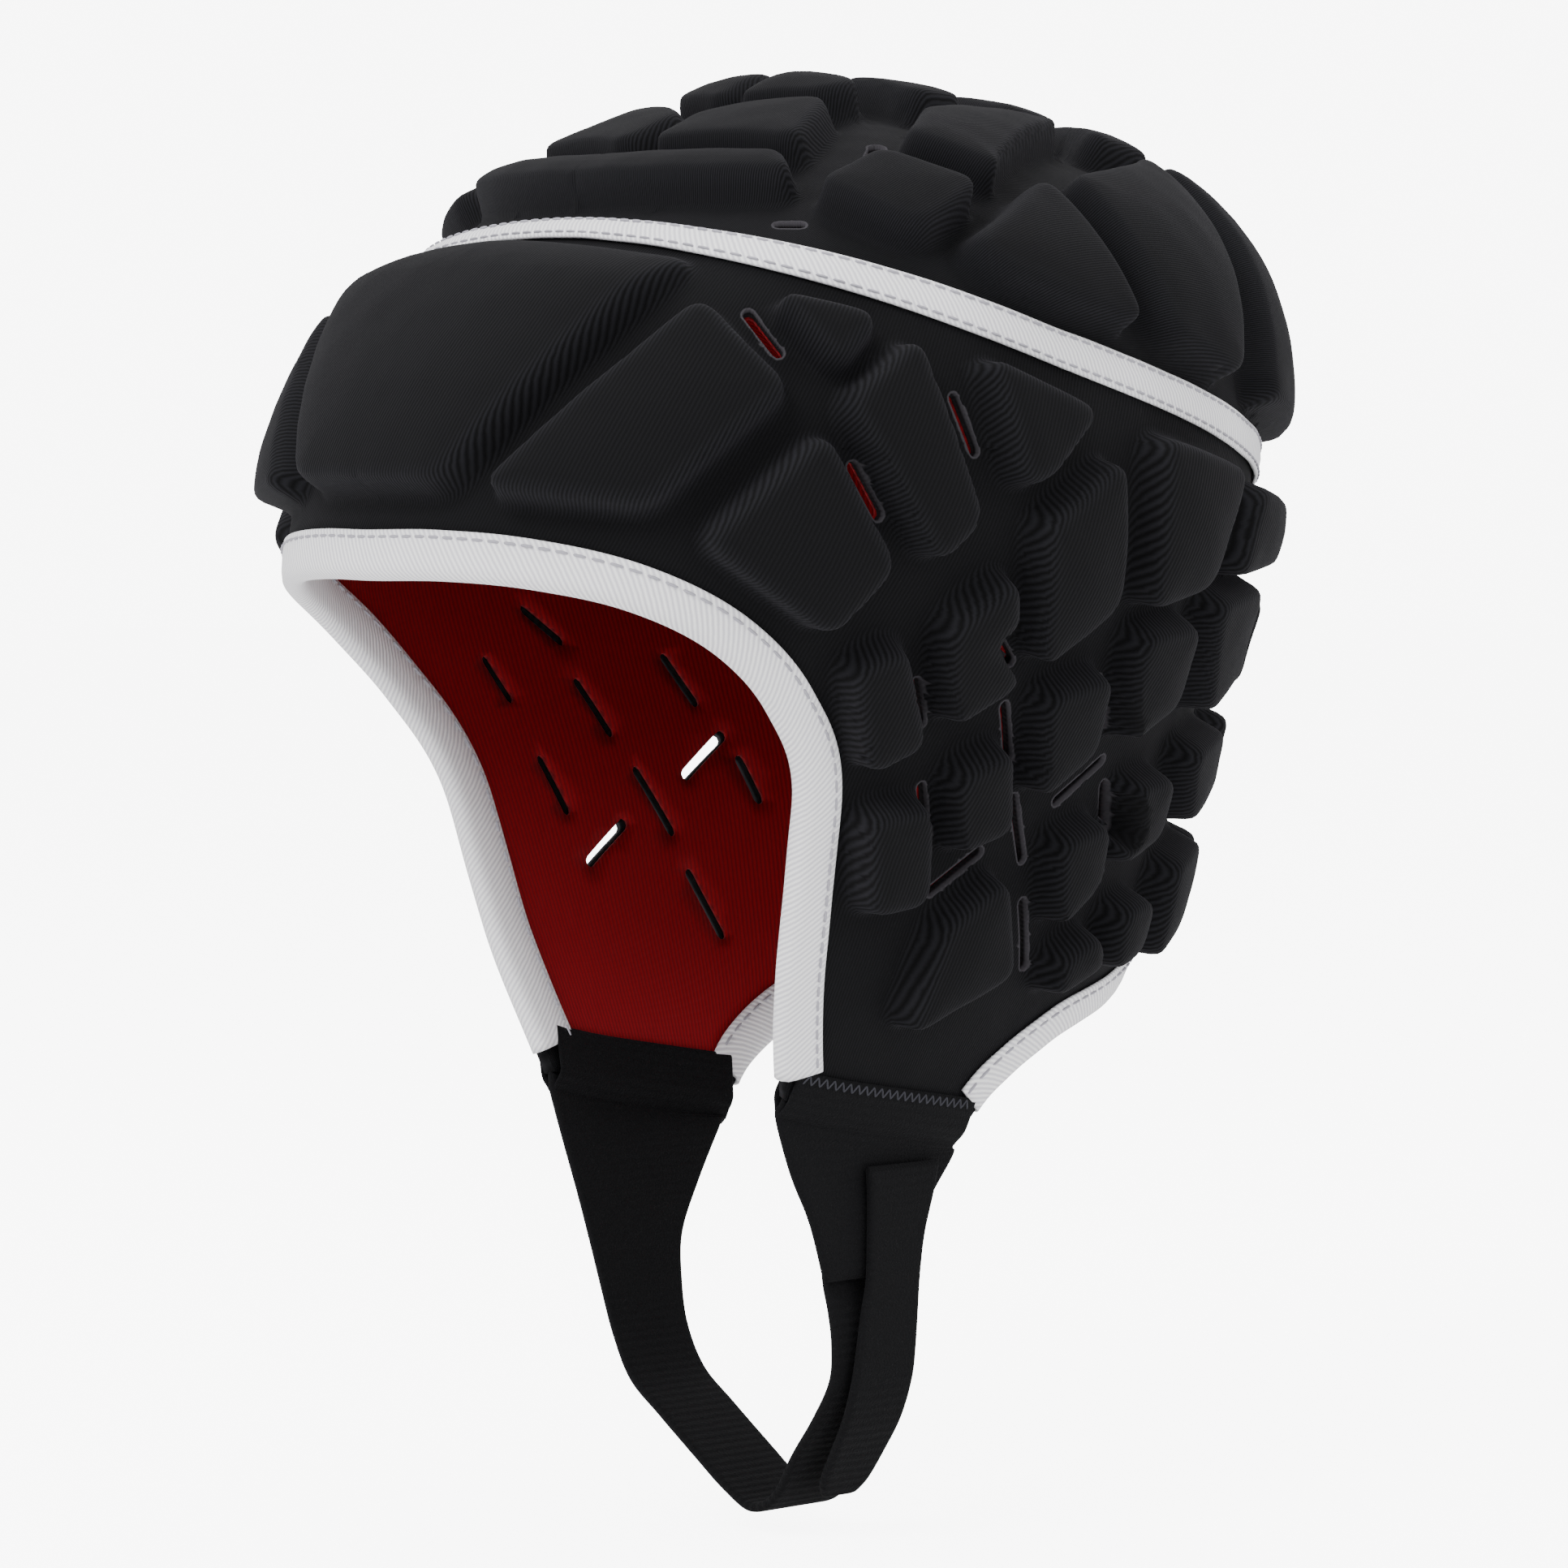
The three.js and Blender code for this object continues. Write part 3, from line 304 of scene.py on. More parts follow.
def inside(points, polygon):
    """Which 2D points lie inside a closed polygon."""
    x, y = points[:, 0], points[:, 1]
    result = np.zeros(len(points), bool)
    for (x0, y0), (x1, y1) in zip(polygon, np.roll(polygon, -1, axis=0)):
        crosses = (y0 > y) != (y1 > y)
        if crosses.any():
            at = x0 + (y - y0) * (x1 - x0) / (y1 - y0 + 1e-30)
            result ^= crosses & (x < at)
    return result


# Charts: flat drawings of a panel in millimetres, for making its mesh

SIDE_PITCH = 1.45
SIDE_RISE = 345.0
CROWN_RISE = 430.0


class SideChart:
    """Turn to the right and share downwards, for the lower panel."""

    @staticmethod
    def flat(turn, down):
        return np.stack([np.asarray(turn, float) * SIDE_PITCH, -np.asarray(down, float) * SIDE_RISE], -1)

    @staticmethod
    def place(xy):
        return xy[..., 0] / SIDE_PITCH, -xy[..., 1] / SIDE_RISE


class CrownChart:
    """Turn round the crown's middle and share outwards, for the crown."""

    @staticmethod
    def flat(turn, down):
        angle = np.radians(np.asarray(turn, float))
        reach = np.asarray(down, float) * CROWN_RISE
        return np.stack([reach * np.sin(angle), reach * np.cos(angle)], -1)

    @staticmethod
    def place(xy):
        turn = np.degrees(np.arctan2(xy[..., 0], xy[..., 1]))
        return turn, np.hypot(xy[..., 0], xy[..., 1]) / CROWN_RISE


# Pads

PAD_HEIGHT = 8.4
PAD_CROWN = 1.1
PAD_CORNER = 4.2
OUTLINE_STEP = 1.9
RINGS = (-12, -8, -5.5, -3.8, -2.6, -1.7, -1.0, -0.4, 0.2, 0.8, 1.4, 2.1, 2.9, 3.9, 5.2)
POLAR_ZONE = 0.15
POLAR_REACH = 0.25


def mix_places(a, b, f, polar):
    """The place between two places, by turn and share, or by the crown's chart near its middle."""
    f = np.asarray(f, float)[..., None]
    a, b = np.asarray(a, float), np.asarray(b, float)
    if not polar:
        return a + (b - a) * f
    flat = CrownChart.flat(a[..., 0], a[..., 1]) * (1 - f) + CrownChart.flat(b[..., 0], b[..., 1]) * f
    return np.stack(CrownChart.place(flat), -1)


def pad_outline(corners, step=OUTLINE_STEP):
    """The rounded outline of a pad's top, as places."""
    lowest, highest = min(c[1] for c in corners), max(c[1] for c in corners)
    polar = lowest < POLAR_ZONE and highest < POLAR_REACH
    count = len(corners)
    sides = []
    for i in range(count):
        line = mix_places(corners[i], corners[(i + 1) % count], np.linspace(0, 1, 9), polar)
        xyz = form_floor(line[:, 0], line[:, 1])
        length = np.linalg.norm(np.diff(xyz, axis=0), axis=1).sum()
        sides.append((min(PAD_CORNER / length, 0.42), length))
    outline = []
    for i in range(count):
        a, b, c = corners[i], corners[(i + 1) % count], corners[(i + 2) % count]
        cut, length = sides[i]
        next_cut = sides[(i + 1) % count][0]
        spans = max(2, int(round(length * (1 - 2 * cut) / step)))
        outline.append(mix_places(a, b, np.linspace(cut, 1 - cut, spans, endpoint=False), polar))
        start = mix_places(a, b, 1 - cut, polar)
        end = mix_places(b, c, next_cut, polar)
        for f in np.linspace(0, 1, 6, endpoint=False):
            first, second = mix_places(start, b, f, polar), mix_places(b, end, f, polar)
            outline.append(mix_places(first, second, f, polar)[None])
    return np.vstack(outline)


def outward_of(outline):
    """The outward direction over the form at each place of a closed outline."""
    xyz = form_floor(outline[:, 0], outline[:, 1])
    along = unit(np.roll(xyz, -1, axis=0) - np.roll(xyz, 1, axis=0))
    outward = unit(np.cross(along, form_normal(outline[:, 0], outline[:, 1])))
    return outward if ((xyz - xyz.mean(0)) * outward).sum() > 0 else -outward


def pad_distance(chart, turn, down, outlines):
    """Signed distance in millimetres from the nearest pad's outline, negative on the pad."""
    xyz = form_floor(turn, down)
    flat = chart.flat(turn, down)
    best = np.full(len(xyz), 60.0)
    for outline in outlines:
        line = form_floor(outline[:, 0], outline[:, 1])
        near = np.nonzero(((xyz > line.min(0) - 9) & (xyz < line.max(0) + 9)).all(-1))[0]
        if not len(near):
            continue
        run = np.roll(line, -1, axis=0) - line
        offset = xyz[near][:, None, :] - line[None]
        f = np.clip((offset * run).sum(-1) / (run * run).sum(-1), 0, 1)
        gap = np.linalg.norm(offset - f[..., None] * run, axis=-1).min(1)
        within = inside(flat[near], chart.flat(outline[:, 0], outline[:, 1]))
        best[near] = np.minimum(best[near], np.where(within, -gap, gap))
    return best


def pad_height(distance):
    """The padding's height over the groove floor by signed distance from the top's outline."""
    wall = 0.5 * (1 - np.tanh((distance - 1.3) / 0.95))
    return PAD_HEIGHT * wall + PAD_CROWN * (1 - np.exp(np.minimum(distance, 0) / 7.0))


def nearest_gap(places, line):
    """Distance in millimetres from each place to the nearest place of a line."""
    xyz = form_floor(places[:, 0], places[:, 1])
    edge = form_floor(line[:, 0], line[:, 1])
    gap = np.empty(len(xyz))
    for first in range(0, len(xyz), 3000):
        part = xyz[first:first + 3000]
        gap[first:first + 3000] = np.linalg.norm(part[:, None] - edge[None], axis=-1).min(1)
    return gap


def ripple(xyz, reach, seed):
    """A soft uneven swell from about -1 to 1 over points in millimetres."""
    random = np.random.default_rng(seed)
    total = np.zeros(xyz.shape[:-1])
    for _ in range(5):
        wave = random.normal(size=3)
        wave *= 2 * math.pi / (reach * random.uniform(0.75, 1.4) * np.linalg.norm(wave))
        total += np.sin(xyz @ wave + random.uniform(0, 2 * math.pi))
    return total / 3.2


# Outlines of the pieces on the wearer's left

TAPE_WIDTH = 8.0
TAPE_LIFT = 0.5
BINDING_WIDTH = 8.5
TAB_OVERLAP = 7.0
LINING_INSET = 4.5
SPACING = 2.0


def beyond_front(row):
    return (-row[0], row[1])


def beyond_back(row):
    return (360 - row[0], row[1])


def onward(last, before):
    return (2 * last[0] - before[0], 2 * last[1] - before[1])


def seam_line(offset, spacing=SPACING):
    """Places along the crown seam from front to back, a distance down from it over the form."""
    turns = np.linspace(0, 180, 361)
    _, slope = form_slopes(turns, seam_down(turns))
    turn, down = stroll(turns, seam_down(turns), unit(slope), offset)
    turn[0], turn[-1] = 0, 180
    return even_places(np.stack([turn, down], -1), spacing)


def face_line(spacing=SPACING):
    return place_line(FACE_EDGE, spacing, (beyond_front(FACE_EDGE[1]), onward(FACE_EDGE[-1], FACE_EDGE[-2])))


def tab_line(spacing=SPACING):
    return place_line(TAB_EDGE, spacing)


def nape_line(spacing=SPACING):
    return place_line(NAPE_EDGE, spacing, (onward(NAPE_EDGE[0], NAPE_EDGE[1]), beyond_back(NAPE_EDGE[-2])))


def edge_line(spacing=SPACING):
    """Places along the lower panel's whole edge, from the middle of the forehead to that of the nape."""
    return np.vstack([face_line(spacing), tab_line(spacing)[1:], nape_line(spacing)[1:]])


def inward_of(path, before=None, after=None):
    """The direction over the form that points from a path into the panel."""
    first = path[:1] if before is None else np.array([before])
    last = path[-1:] if after is None else np.array([after])
    whole = np.vstack([first, path, last])
    xyz = form_floor(whole[:, 0], whole[:, 1])
    along = unit(xyz[2:] - xyz[:-2])
    return unit(np.cross(form_normal(path[:, 0], path[:, 1]), along))


def inset_edge(distance, spacing=SPACING):
    """The lower panel's edge drawn in by an even distance, without the crossed ends at its corners."""
    path = edge_line(spacing)
    inward = inward_of(path, beyond_front(path[1]), beyond_back(path[-2]))
    turn, down = stroll(path[:, 0], path[:, 1], inward, distance)
    turn[0], turn[-1] = 0, 180
    places = np.stack([turn, down], -1)
    return places[nearest_gap(places, path) > distance * 0.95]


def middle_line(turn, start, end, spacing):
    """Places down the middle plane between two shares, both left out."""
    length = np.linalg.norm(form_floor(turn, start) - form_floor(turn, end))
    count = max(2, int(round(length / spacing)))
    downs = np.linspace(start, end, count + 1)[1:-1]
    return np.stack([np.full(len(downs), float(turn)), downs], -1)


def lower_border(top, edge, spacing):
    """The closed outline of the lower panel's left half, from a seam line and an edge line."""
    back = middle_line(180, top[-1, 1], edge[-1, 1], spacing)
    front = middle_line(0, edge[0, 1], top[0, 1], spacing)
    return np.vstack([top, back, edge[::-1], front])


def crown_border(edge, spacing):
    """The closed outline of the crown's left half."""
    back = middle_line(180, edge[-1, 1], 0, spacing)
    front = middle_line(0, 0, edge[0, 1], spacing)
    return np.vstack([edge, back, [(0, 0)], front])


def slit_outline(ends, width=SLIT_WIDTH, bends=5):
    """A round-ended slot as places round it."""
    (t0, d0), (t1, d1) = ends
    a, b = form_floor(t0, d0), form_floor(t1, d1)
    along = unit(b - a)
    side = unit(np.cross(form_normal((t0 + t1) / 2, (d0 + d1) / 2), along))
    spans = max(2, int(np.linalg.norm(b - a) / 2.2))
    half = width / 2
    places = []

    def add(share, forward, sideways):
        shift = along * forward + side * sideways
        turn, down = stroll(t0 + (t1 - t0) * share, d0 + (d1 - d0) * share, unit(shift), half, 1)
        places.append((float(turn), float(down)))

    for angle in np.radians(np.linspace(-90, 90, bends)):
        add(1, math.cos(angle), math.sin(angle))
    for k in range(1, spans):
        add(1 - k / spans, 0, 1)
    for angle in np.radians(np.linspace(90, 270, bends)):
        add(0, math.cos(angle), math.sin(angle))
    for k in range(1, spans):
        add(k / spans, 0, -1)
    return np.array(places)


# Meshes

def triangulated(chart, border, slits, fill):
    """Places and triangles of a sheet bounded by its border, with the slits cut out."""
    loops = [border] + slits
    places, edges = [], []
    for loop in loops:
        first = len(places)
        places.extend(map(tuple, loop))
        edges.extend((first + i, first + (i + 1) % len(loop)) for i in range(len(loop)))
    places = np.vstack([np.array(places), fill])
    flat = chart.flat(places[:, 0], places[:, 1])
    points, _, faces, sources, *_ = delaunay_2d_cdt([Vector(p) for p in flat], edges, [], 0, 1e-5)
    points = np.array([tuple(p) for p in points])
    faces = np.array([tuple(f) for f in faces])
    middle = points[faces].mean(1)
    keep = inside(middle, chart.flat(border[:, 0], border[:, 1]))
    for slit in slits:
        keep &= ~inside(middle, chart.flat(slit[:, 0], slit[:, 1]))
    faces = faces[keep]
    turn, down = chart.place(points)
    index_of = {}
    for i, source in enumerate(sources):
        for s in source:
            index_of[s] = i
        if source:
            turn[i], down[i] = places[source[0]]
    loop_ids = []
    first = 0
    for loop in loops:
        loop_ids.append([index_of[first + i] for i in range(len(loop))])
        first += len(loop)
    return np.stack([turn, down], -1), faces, loop_ids


def thinned(flat, cell):
    """One point for each cell of a grid, first come first kept."""
    keys = np.round(flat / cell).astype(np.int64)
    _, index = np.unique(keys, axis=0, return_index=True)
    return np.sort(index)


def even_fill(chart, border, slits, pitch):
    """An even fill of staggered places inside a border."""
    edge = chart.flat(border[:, 0], border[:, 1])
    low, high = edge.min(0), edge.max(0)
    x, y = np.meshgrid(np.arange(low[0], high[0], pitch), np.arange(low[1], high[1], pitch))
    x = x + pitch / 2 * (np.arange(x.shape[0]) % 2)[:, None]
    grid = np.stack([x.ravel(), y.ravel()], -1)
    grid = grid[inside(grid, edge)]
    return np.stack(chart.place(grid), -1)


def clear_of(chart, fill, loops, reach, holes):
    """The places of a fill that keep a little way from the outlines and out of the holes."""
    flat = chart.flat(fill[:, 0], fill[:, 1])
    keep = np.ones(len(fill), bool)
    for loop in loops:
        edge = chart.flat(loop[:, 0], loop[:, 1])
        for first in range(0, len(fill), 3000):
            part = flat[first:first + 3000]
            keep[first:first + 3000] &= np.linalg.norm(part[:, None] - edge[None], axis=-1).min(1) > reach
    for hole in holes:
        keep &= ~inside(flat, chart.flat(hole[:, 0], hole[:, 1]))
    return fill[keep]


def padded_fill(chart, border, slits, outlines, extra):
    """Places inside a panel: rings along each pad's outline, then an even fill elsewhere."""
    rings = []
    for outline in outlines:
        outward = outward_of(outline)
        for reach in RINGS:
            turn, down = stroll(outline[:, 0], outline[:, 1], outward, reach, 2)
            ring = np.stack([turn, down, np.full(len(turn), float(reach))], -1)
            rings.append(ring if abs(reach) < 6 else ring[::2])
    rings = np.vstack(rings)
    rings = rings[(rings[:, 1] > 0.002) & (rings[:, 1] < 0.985)]
    flat = chart.flat(rings[:, 0], rings[:, 1])
    rings = rings[inside(flat, chart.flat(border[:, 0], border[:, 1]))]
    actual = pad_distance(chart, rings[:, 0], rings[:, 1], outlines)
    rings = rings[np.abs(actual - rings[:, 2]) < 0.35][:, :2]
    for line in extra:
        flat = chart.flat(line[:, 0], line[:, 1])
        rings = np.vstack([line[inside(flat, chart.flat(border[:, 0], border[:, 1]))], rings])
    flat = chart.flat(rings[:, 0], rings[:, 1])
    rings = rings[thinned(flat, 0.6)]
    flat = chart.flat(rings[:, 0], rings[:, 1])
    grid = even_fill(chart, border, slits, 3.0)
    distance = pad_distance(chart, grid[:, 0], grid[:, 1], outlines)
    grid = grid[(distance < -9.5) | (distance > 3.5)]
    taken = set(map(tuple, np.floor(flat / 2.2).astype(int)))
    cells = np.floor(chart.flat(grid[:, 0], grid[:, 1]) / 2.2).astype(int)
    grid = grid[[tuple(c) not in taken for c in cells]]
    return clear_of(chart, np.vstack([rings, grid]), [border] + slits, 0.7, slits)


def half_shell(chart, border, slits, outer, inner):
    """A shell between two skins over the wearer's left half, then mirrored to the right.

    Each skin is its fill of places and a function that gives the lift at turns and shares down.
    Gives points, faces, flat fabric places and the turn and share of each point.
    """
    points, places, faces, loops = [], [], [], []
    total = 0
    for side, (fill, lift) in ((1, outer), (-1, inner)):
        spots, triangles, rims = triangulated(chart, border, slits, fill)
        xyz = on_form(spots[:, 0], spots[:, 1], lift(spots[:, 0], spots[:, 1]))
        a, b, c = (xyz[triangles[:, k]] for k in range(3))
        normal = form_normal(spots[triangles[:, 0], 0], spots[triangles[:, 0], 1])
        flip = (np.cross(b - a, c - a) * normal).sum(-1) * side < 0
        if flip.sum() * 2 > len(flip):
            triangles = triangles[:, ::-1]
        points.append(xyz)
        places.append(spots)
        faces.extend(map(tuple, triangles + total))
        loops.append([[i + total for i in rim] for rim in rims])
        total += len(xyz)
    points, places = np.vstack(points), np.vstack(places)
    for top_rim, low_rim in zip(*loops):
        count = len(top_rim)
        for i in range(count):
            a, b = top_rim[i], top_rim[(i + 1) % count]
            c, d = low_rim[(i + 1) % count], low_rim[i]
            if abs(points[a][0]) > 1e-6 or abs(points[b][0]) > 1e-6:
                faces.append((a, b, c, d))
    flat = chart.flat(places[:, 0], places[:, 1])
    faces = faces + [tuple(i + total for i in reversed(face)) for face in faces]
    return (np.vstack([points, points * (-1, 1, 1)]), faces,
            np.vstack([flat, flat * (-1, 1)]), np.vstack([places, places]))


def clean_start():
    """Nothing selected and nothing in edit mode."""
    if bpy.context.object and bpy.context.object.mode != "OBJECT":
        bpy.ops.object.mode_set(mode="OBJECT")
    bpy.ops.object.select_all(action="DESELECT")


def new_piece(name, node, slot, material, points, faces, flat, values=None):
    """A piece from points in millimetres, with its fabric places as UVs and its named values."""
    mesh = bpy.data.meshes.new(name)
    mesh.from_pydata((np.asarray(points) * MM).tolist(), [], [tuple(map(int, f)) for f in faces])
    layer = mesh.uv_layers.new(name="Fabric")
    corner = np.empty(len(mesh.loops), np.int32)
    mesh.loops.foreach_get("vertex_index", corner)
    layer.data.foreach_set("uv", (np.asarray(flat)[corner] * MM).astype(np.float32).ravel())
    for key, value in (values or {}).items():
        attribute = mesh.attributes.new(key, "FLOAT", "POINT")
        attribute.data.foreach_set("value", np.asarray(value, np.float32))
    piece = bpy.data.objects.new(name, mesh)
    bpy.context.scene.collection.objects.link(piece)
    weld(mesh)
    mesh.polygons.foreach_set("use_smooth", [True] * len(mesh.polygons))
    mesh.materials.append(material)
    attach(piece, "root")
    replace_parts(piece, node)
    return piece


def weld(mesh):
    """Doubles merged and faces turned outwards."""
    edit = bmesh.new()
    edit.from_mesh(mesh)
    bmesh.ops.remove_doubles(edit, verts=edit.verts, dist=0.02 * MM)
    bmesh.ops.dissolve_degenerate(edit, edges=edit.edges, dist=0.001 * MM)
    bmesh.ops.recalc_face_normals(edit, faces=edit.faces)
    edit.to_mesh(mesh)
    edit.free()
    mesh.update()


def tube_faces(count, size, is_loop):
    """Faces of a tube through count sections of size points each, with capped ends if it is open."""
    faces = []
    for s in range(count if is_loop else count - 1):
        n = (s + 1) % count
        for i in range(size):
            j = (i + 1) % size
            faces.append((s * size + i, n * size + i, n * size + j, s * size + j))
    if not is_loop:
        faces.append(tuple(range(size)))
        faces.append(tuple((count - 1) * size + i for i in reversed(range(size))))
    return faces


def trim_mesh(path, inward, profile, is_loop, swell=None):
    """A closed profile of (across, lift) carried along a path. Gives points, faces and flat places."""
    profile = np.array(profile, float)
    points = []
    for across, lift in profile:
        turn, down = stroll(path[:, 0], path[:, 1], inward, across)
        raised = np.full(len(path), lift)
        if swell is not None:
            raised = raised + swell(across, lift)
        points.append(on_form(turn, down, raised))
    points = np.stack(points, 1)
    xyz = form_floor(path[:, 0], path[:, 1])
    length = np.concatenate([[0], np.cumsum(np.linalg.norm(np.diff(xyz, axis=0), axis=1))])
    ring = np.concatenate([[0], np.cumsum(np.linalg.norm(np.diff(profile, axis=0), axis=1))])
    flat = np.stack(np.meshgrid(length, ring, indexing="ij"), -1)
    faces = tube_faces(len(path), len(profile), is_loop)
    return points.reshape(-1, 3), faces, flat.reshape(-1, 2)


def joined(*meshes):
    """Several (points, faces, flat) as one."""
    points, faces, flats, total = [], [], [], 0
    for p, f, uv in meshes:
        points.append(p)
        faces.extend(tuple(i + total for i in face) for face in f)
        flats.append(uv)
        total += len(p)
    return np.vstack(points), faces, np.vstack(flats)


def mirrored_path(path):
    """A path on the wearer's right, back to front."""
    return np.stack([-path[::-1, 0], path[::-1, 1]], -1)


def catmull(rows, per_row, ends=None):
    """Rows of points made finer by a smooth curve along them."""
    p = np.asarray(rows, float)
    before, after = ends if ends else (2 * p[0] - p[1], 2 * p[-1] - p[-2])
    q = np.concatenate([before[None], p, after[None]])
    u = np.linspace(0, len(p) - 1 - 1e-9, per_row * (len(p) - 1) + 1)
    i = u.astype(int)
    f = (u - i).reshape((-1,) + (1,) * (p.ndim - 1))
    p0, p1, p2, p3 = q[i], q[i + 1], q[i + 2], q[i + 3]
    return 0.5 * (2 * p1 + (p2 - p0) * f + (2 * p0 - 5 * p1 + 4 * p2 - p3) * f ** 2
                  + (3 * p1 - p0 - 3 * p2 + p3) * f ** 3)


def even_rows(rows, spacing):
    """Rows of points at even distances along their middle."""
    middle = rows[:, rows.shape[1] // 2]
    length = np.concatenate([[0], np.cumsum(np.linalg.norm(np.diff(middle, axis=0), axis=1))])
    at = np.linspace(0, length[-1], int(round(length[-1] / spacing)) + 1)
    out = np.empty((len(at),) + rows.shape[1:])
    for c in range(rows.shape[1]):
        for k in range(3):
            out[:, c, k] = np.interp(at, length, rows[:, c, k])
    return out, at


def ribbon(rows, at, thickness, tip_start=0.0, tip_end=0.0):
    """A flat band with rounded edges over rows of points. Gives points, faces and flat places."""
    count, across = rows.shape[:2]
    along = np.gradient(rows, axis=0)
    sideways = np.gradient(rows, axis=1)
    normal = unit(np.cross(along, sideways))
    width = np.linalg.norm(np.diff(rows, axis=1), axis=-1)
    side = np.concatenate([np.zeros((count, 1)), np.cumsum(width, 1)], 1)
    edge = np.minimum(side, side[:, -1:] - side)
    ends = np.minimum(at - at[0], at[-1] - at)[:, None]
    edge = np.minimum(edge, ends)
    half = thickness / 2
    round_off = np.clip(edge / half, 0, 1)
    thick = half * (0.22 + 0.78 * np.sqrt(1 - (1 - round_off) ** 2))
    top = rows + normal * thick[..., None]
    low = rows - normal * thick[..., None]
    points = np.concatenate([top.reshape(-1, 3), low.reshape(-1, 3)])
    total = count * across
    faces = []
    for r in range(count - 1):
        for c in range(across - 1):
            a, b = r * across + c, r * across + c + 1
            faces.append((a, a + across, b + across, b))
            faces.append((total + a, total + b, total + b + across, total + a + across))
    rim = ([c for c in range(across)] + [r * across + across - 1 for r in range(1, count)]
           + [(count - 1) * across + c for c in range(across - 2, -1, -1)]
           + [r * across for r in range(count - 2, 0, -1)])
    for a, b in zip(rim, rim[1:] + rim[:1]):
        faces.append((a, b, total + b, total + a))
    flat = np.stack([side - side[:, -1:] / 2, np.broadcast_to(at[:, None], side.shape)], -1).reshape(-1, 2)
    return points, faces, np.vstack([flat, flat])


# Materials

def linear(code):
    """Linear colour from an sRGB hex value."""
    channels = [int(code[i:i + 2], 16) / 255 for i in (1, 3, 5)]
    return tuple(c / 12.92 if c <= 0.04045 else ((c + 0.055) / 1.055) ** 2.4 for c in channels) + (1.0,)


def add_node(tree, kind, settings=None, links=None):
    """A node with its settings, and its inputs set to values or linked to other nodes' outputs."""
    node = tree.nodes.new(kind)
    for key, value in (settings or {}).items():
        setattr(node, key, value)
    for key, value in (links or {}).items():
        if isinstance(value, bpy.types.NodeSocket):
            tree.links.new(value, node.inputs[key])
        else:
            node.inputs[key].default_value = value
    return node


def new_material(name, roughness, sheen, sheen_tint="#ffffff"):
    """A cloth material with its shader. Gives the material, its tree and the shader."""
    material = bpy.data.materials.new(name)
    material.use_nodes = True
    tree = material.node_tree
    shader = tree.nodes["Principled BSDF"]
    shader.inputs["Roughness"].default_value = roughness
    shader.inputs["Sheen Weight"].default_value = sheen
    shader.inputs["Sheen Roughness"].default_value = 0.5
    shader.inputs["Sheen Tint"].default_value = linear(sheen_tint)
    shader.inputs["Specular IOR Level"].default_value = 0.15
    return material, tree, shader


def twill_lines(tree, tilt, pitch):
    """Height of twill lines across a piece's own fabric places, tilted in degrees from its length."""
    fabric = add_node(tree, "ShaderNodeUVMap", {"uv_map": "Fabric"})
    turned = add_node(tree, "ShaderNodeMapping", {}, {
        "Vector": fabric.outputs["UV"], "Rotation": (0, 0, math.radians(tilt))})
    return add_node(tree, "ShaderNodeTexWave", {"wave_type": "BANDS", "bands_direction": "X"}, {
        "Vector": turned.outputs["Vector"], "Scale": math.pi / 10 / (pitch * MM),
        "Distortion": 0.6, "Detail": 1.0, "Detail Scale": 1.5})


def knit_material(colours):
    """Warp knit polyester over foam: matt, near black, with fine raised lines that stretching opens, and a painted
    highlight along the slits' rims.
    """
    material, tree, shader = new_material("Padded warp knit", 0.9, 0.06, "#8a8794")
    lines = twill_lines(tree, 12, 0.72)
    stretch = add_node(tree, "ShaderNodeAttribute", {"attribute_name": "stretch"})
    opened = add_node(tree, "ShaderNodeMath", {"operation": "MULTIPLY_ADD"}, {
        0: stretch.outputs["Fac"], 1: 0.65, 2: 0.22})
    shown = add_node(tree, "ShaderNodeMath", {"operation": "MULTIPLY"}, {
        0: lines.outputs["Fac"], 1: opened.outputs[0]})
    colour = add_node(tree, "ShaderNodeMixRGB", {}, {
        "Fac": shown.outputs[0], "Color1": linear(colours.knit), "Color2": linear(colours.knit_line)})
    # A grey painted highlight along the slits' rims, mixed over the knit's colour
    rim = add_node(tree, "ShaderNodeAttribute", {"attribute_name": "rim"})
    edge = add_node(tree, "ShaderNodeMapRange", {}, {
        "Value": rim.outputs["Fac"], "From Min": 0.45, "From Max": 0.7})
    cut = add_node(tree, "ShaderNodeMixRGB", {}, {
        "Fac": edge.outputs[0], "Color1": colour.outputs[0], "Color2": linear(colours.slit_rim_highlight)})
    tree.links.new(cut.outputs[0], shader.inputs["Base Color"])
    bump = add_node(tree, "ShaderNodeBump", {}, {
        "Height": lines.outputs["Fac"], "Strength": 0.5, "Distance": 0.00015})
    tree.links.new(bump.outputs[0], shader.inputs["Normal"])
    return material


def lining_material(colours):
    """Brushed polyester lining knit: deep red, matt, with a fine open grain."""
    material, tree, shader = new_material("Red lining knit", 0.8, 0.15, "#c04048")
    lines = twill_lines(tree, 0, 1.0)
    colour = add_node(tree, "ShaderNodeMixRGB", {}, {
        "Fac": lines.outputs["Fac"], "Color1": linear(colours.lining_shade), "Color2": linear(colours.lining)})
    tree.links.new(colour.outputs[0], shader.inputs["Base Color"])
    bump = add_node(tree, "ShaderNodeBump", {}, {
        "Height": lines.outputs["Fac"], "Strength": 0.4, "Distance": 0.0002})
    tree.links.new(bump.outputs[0], shader.inputs["Normal"])
    return material


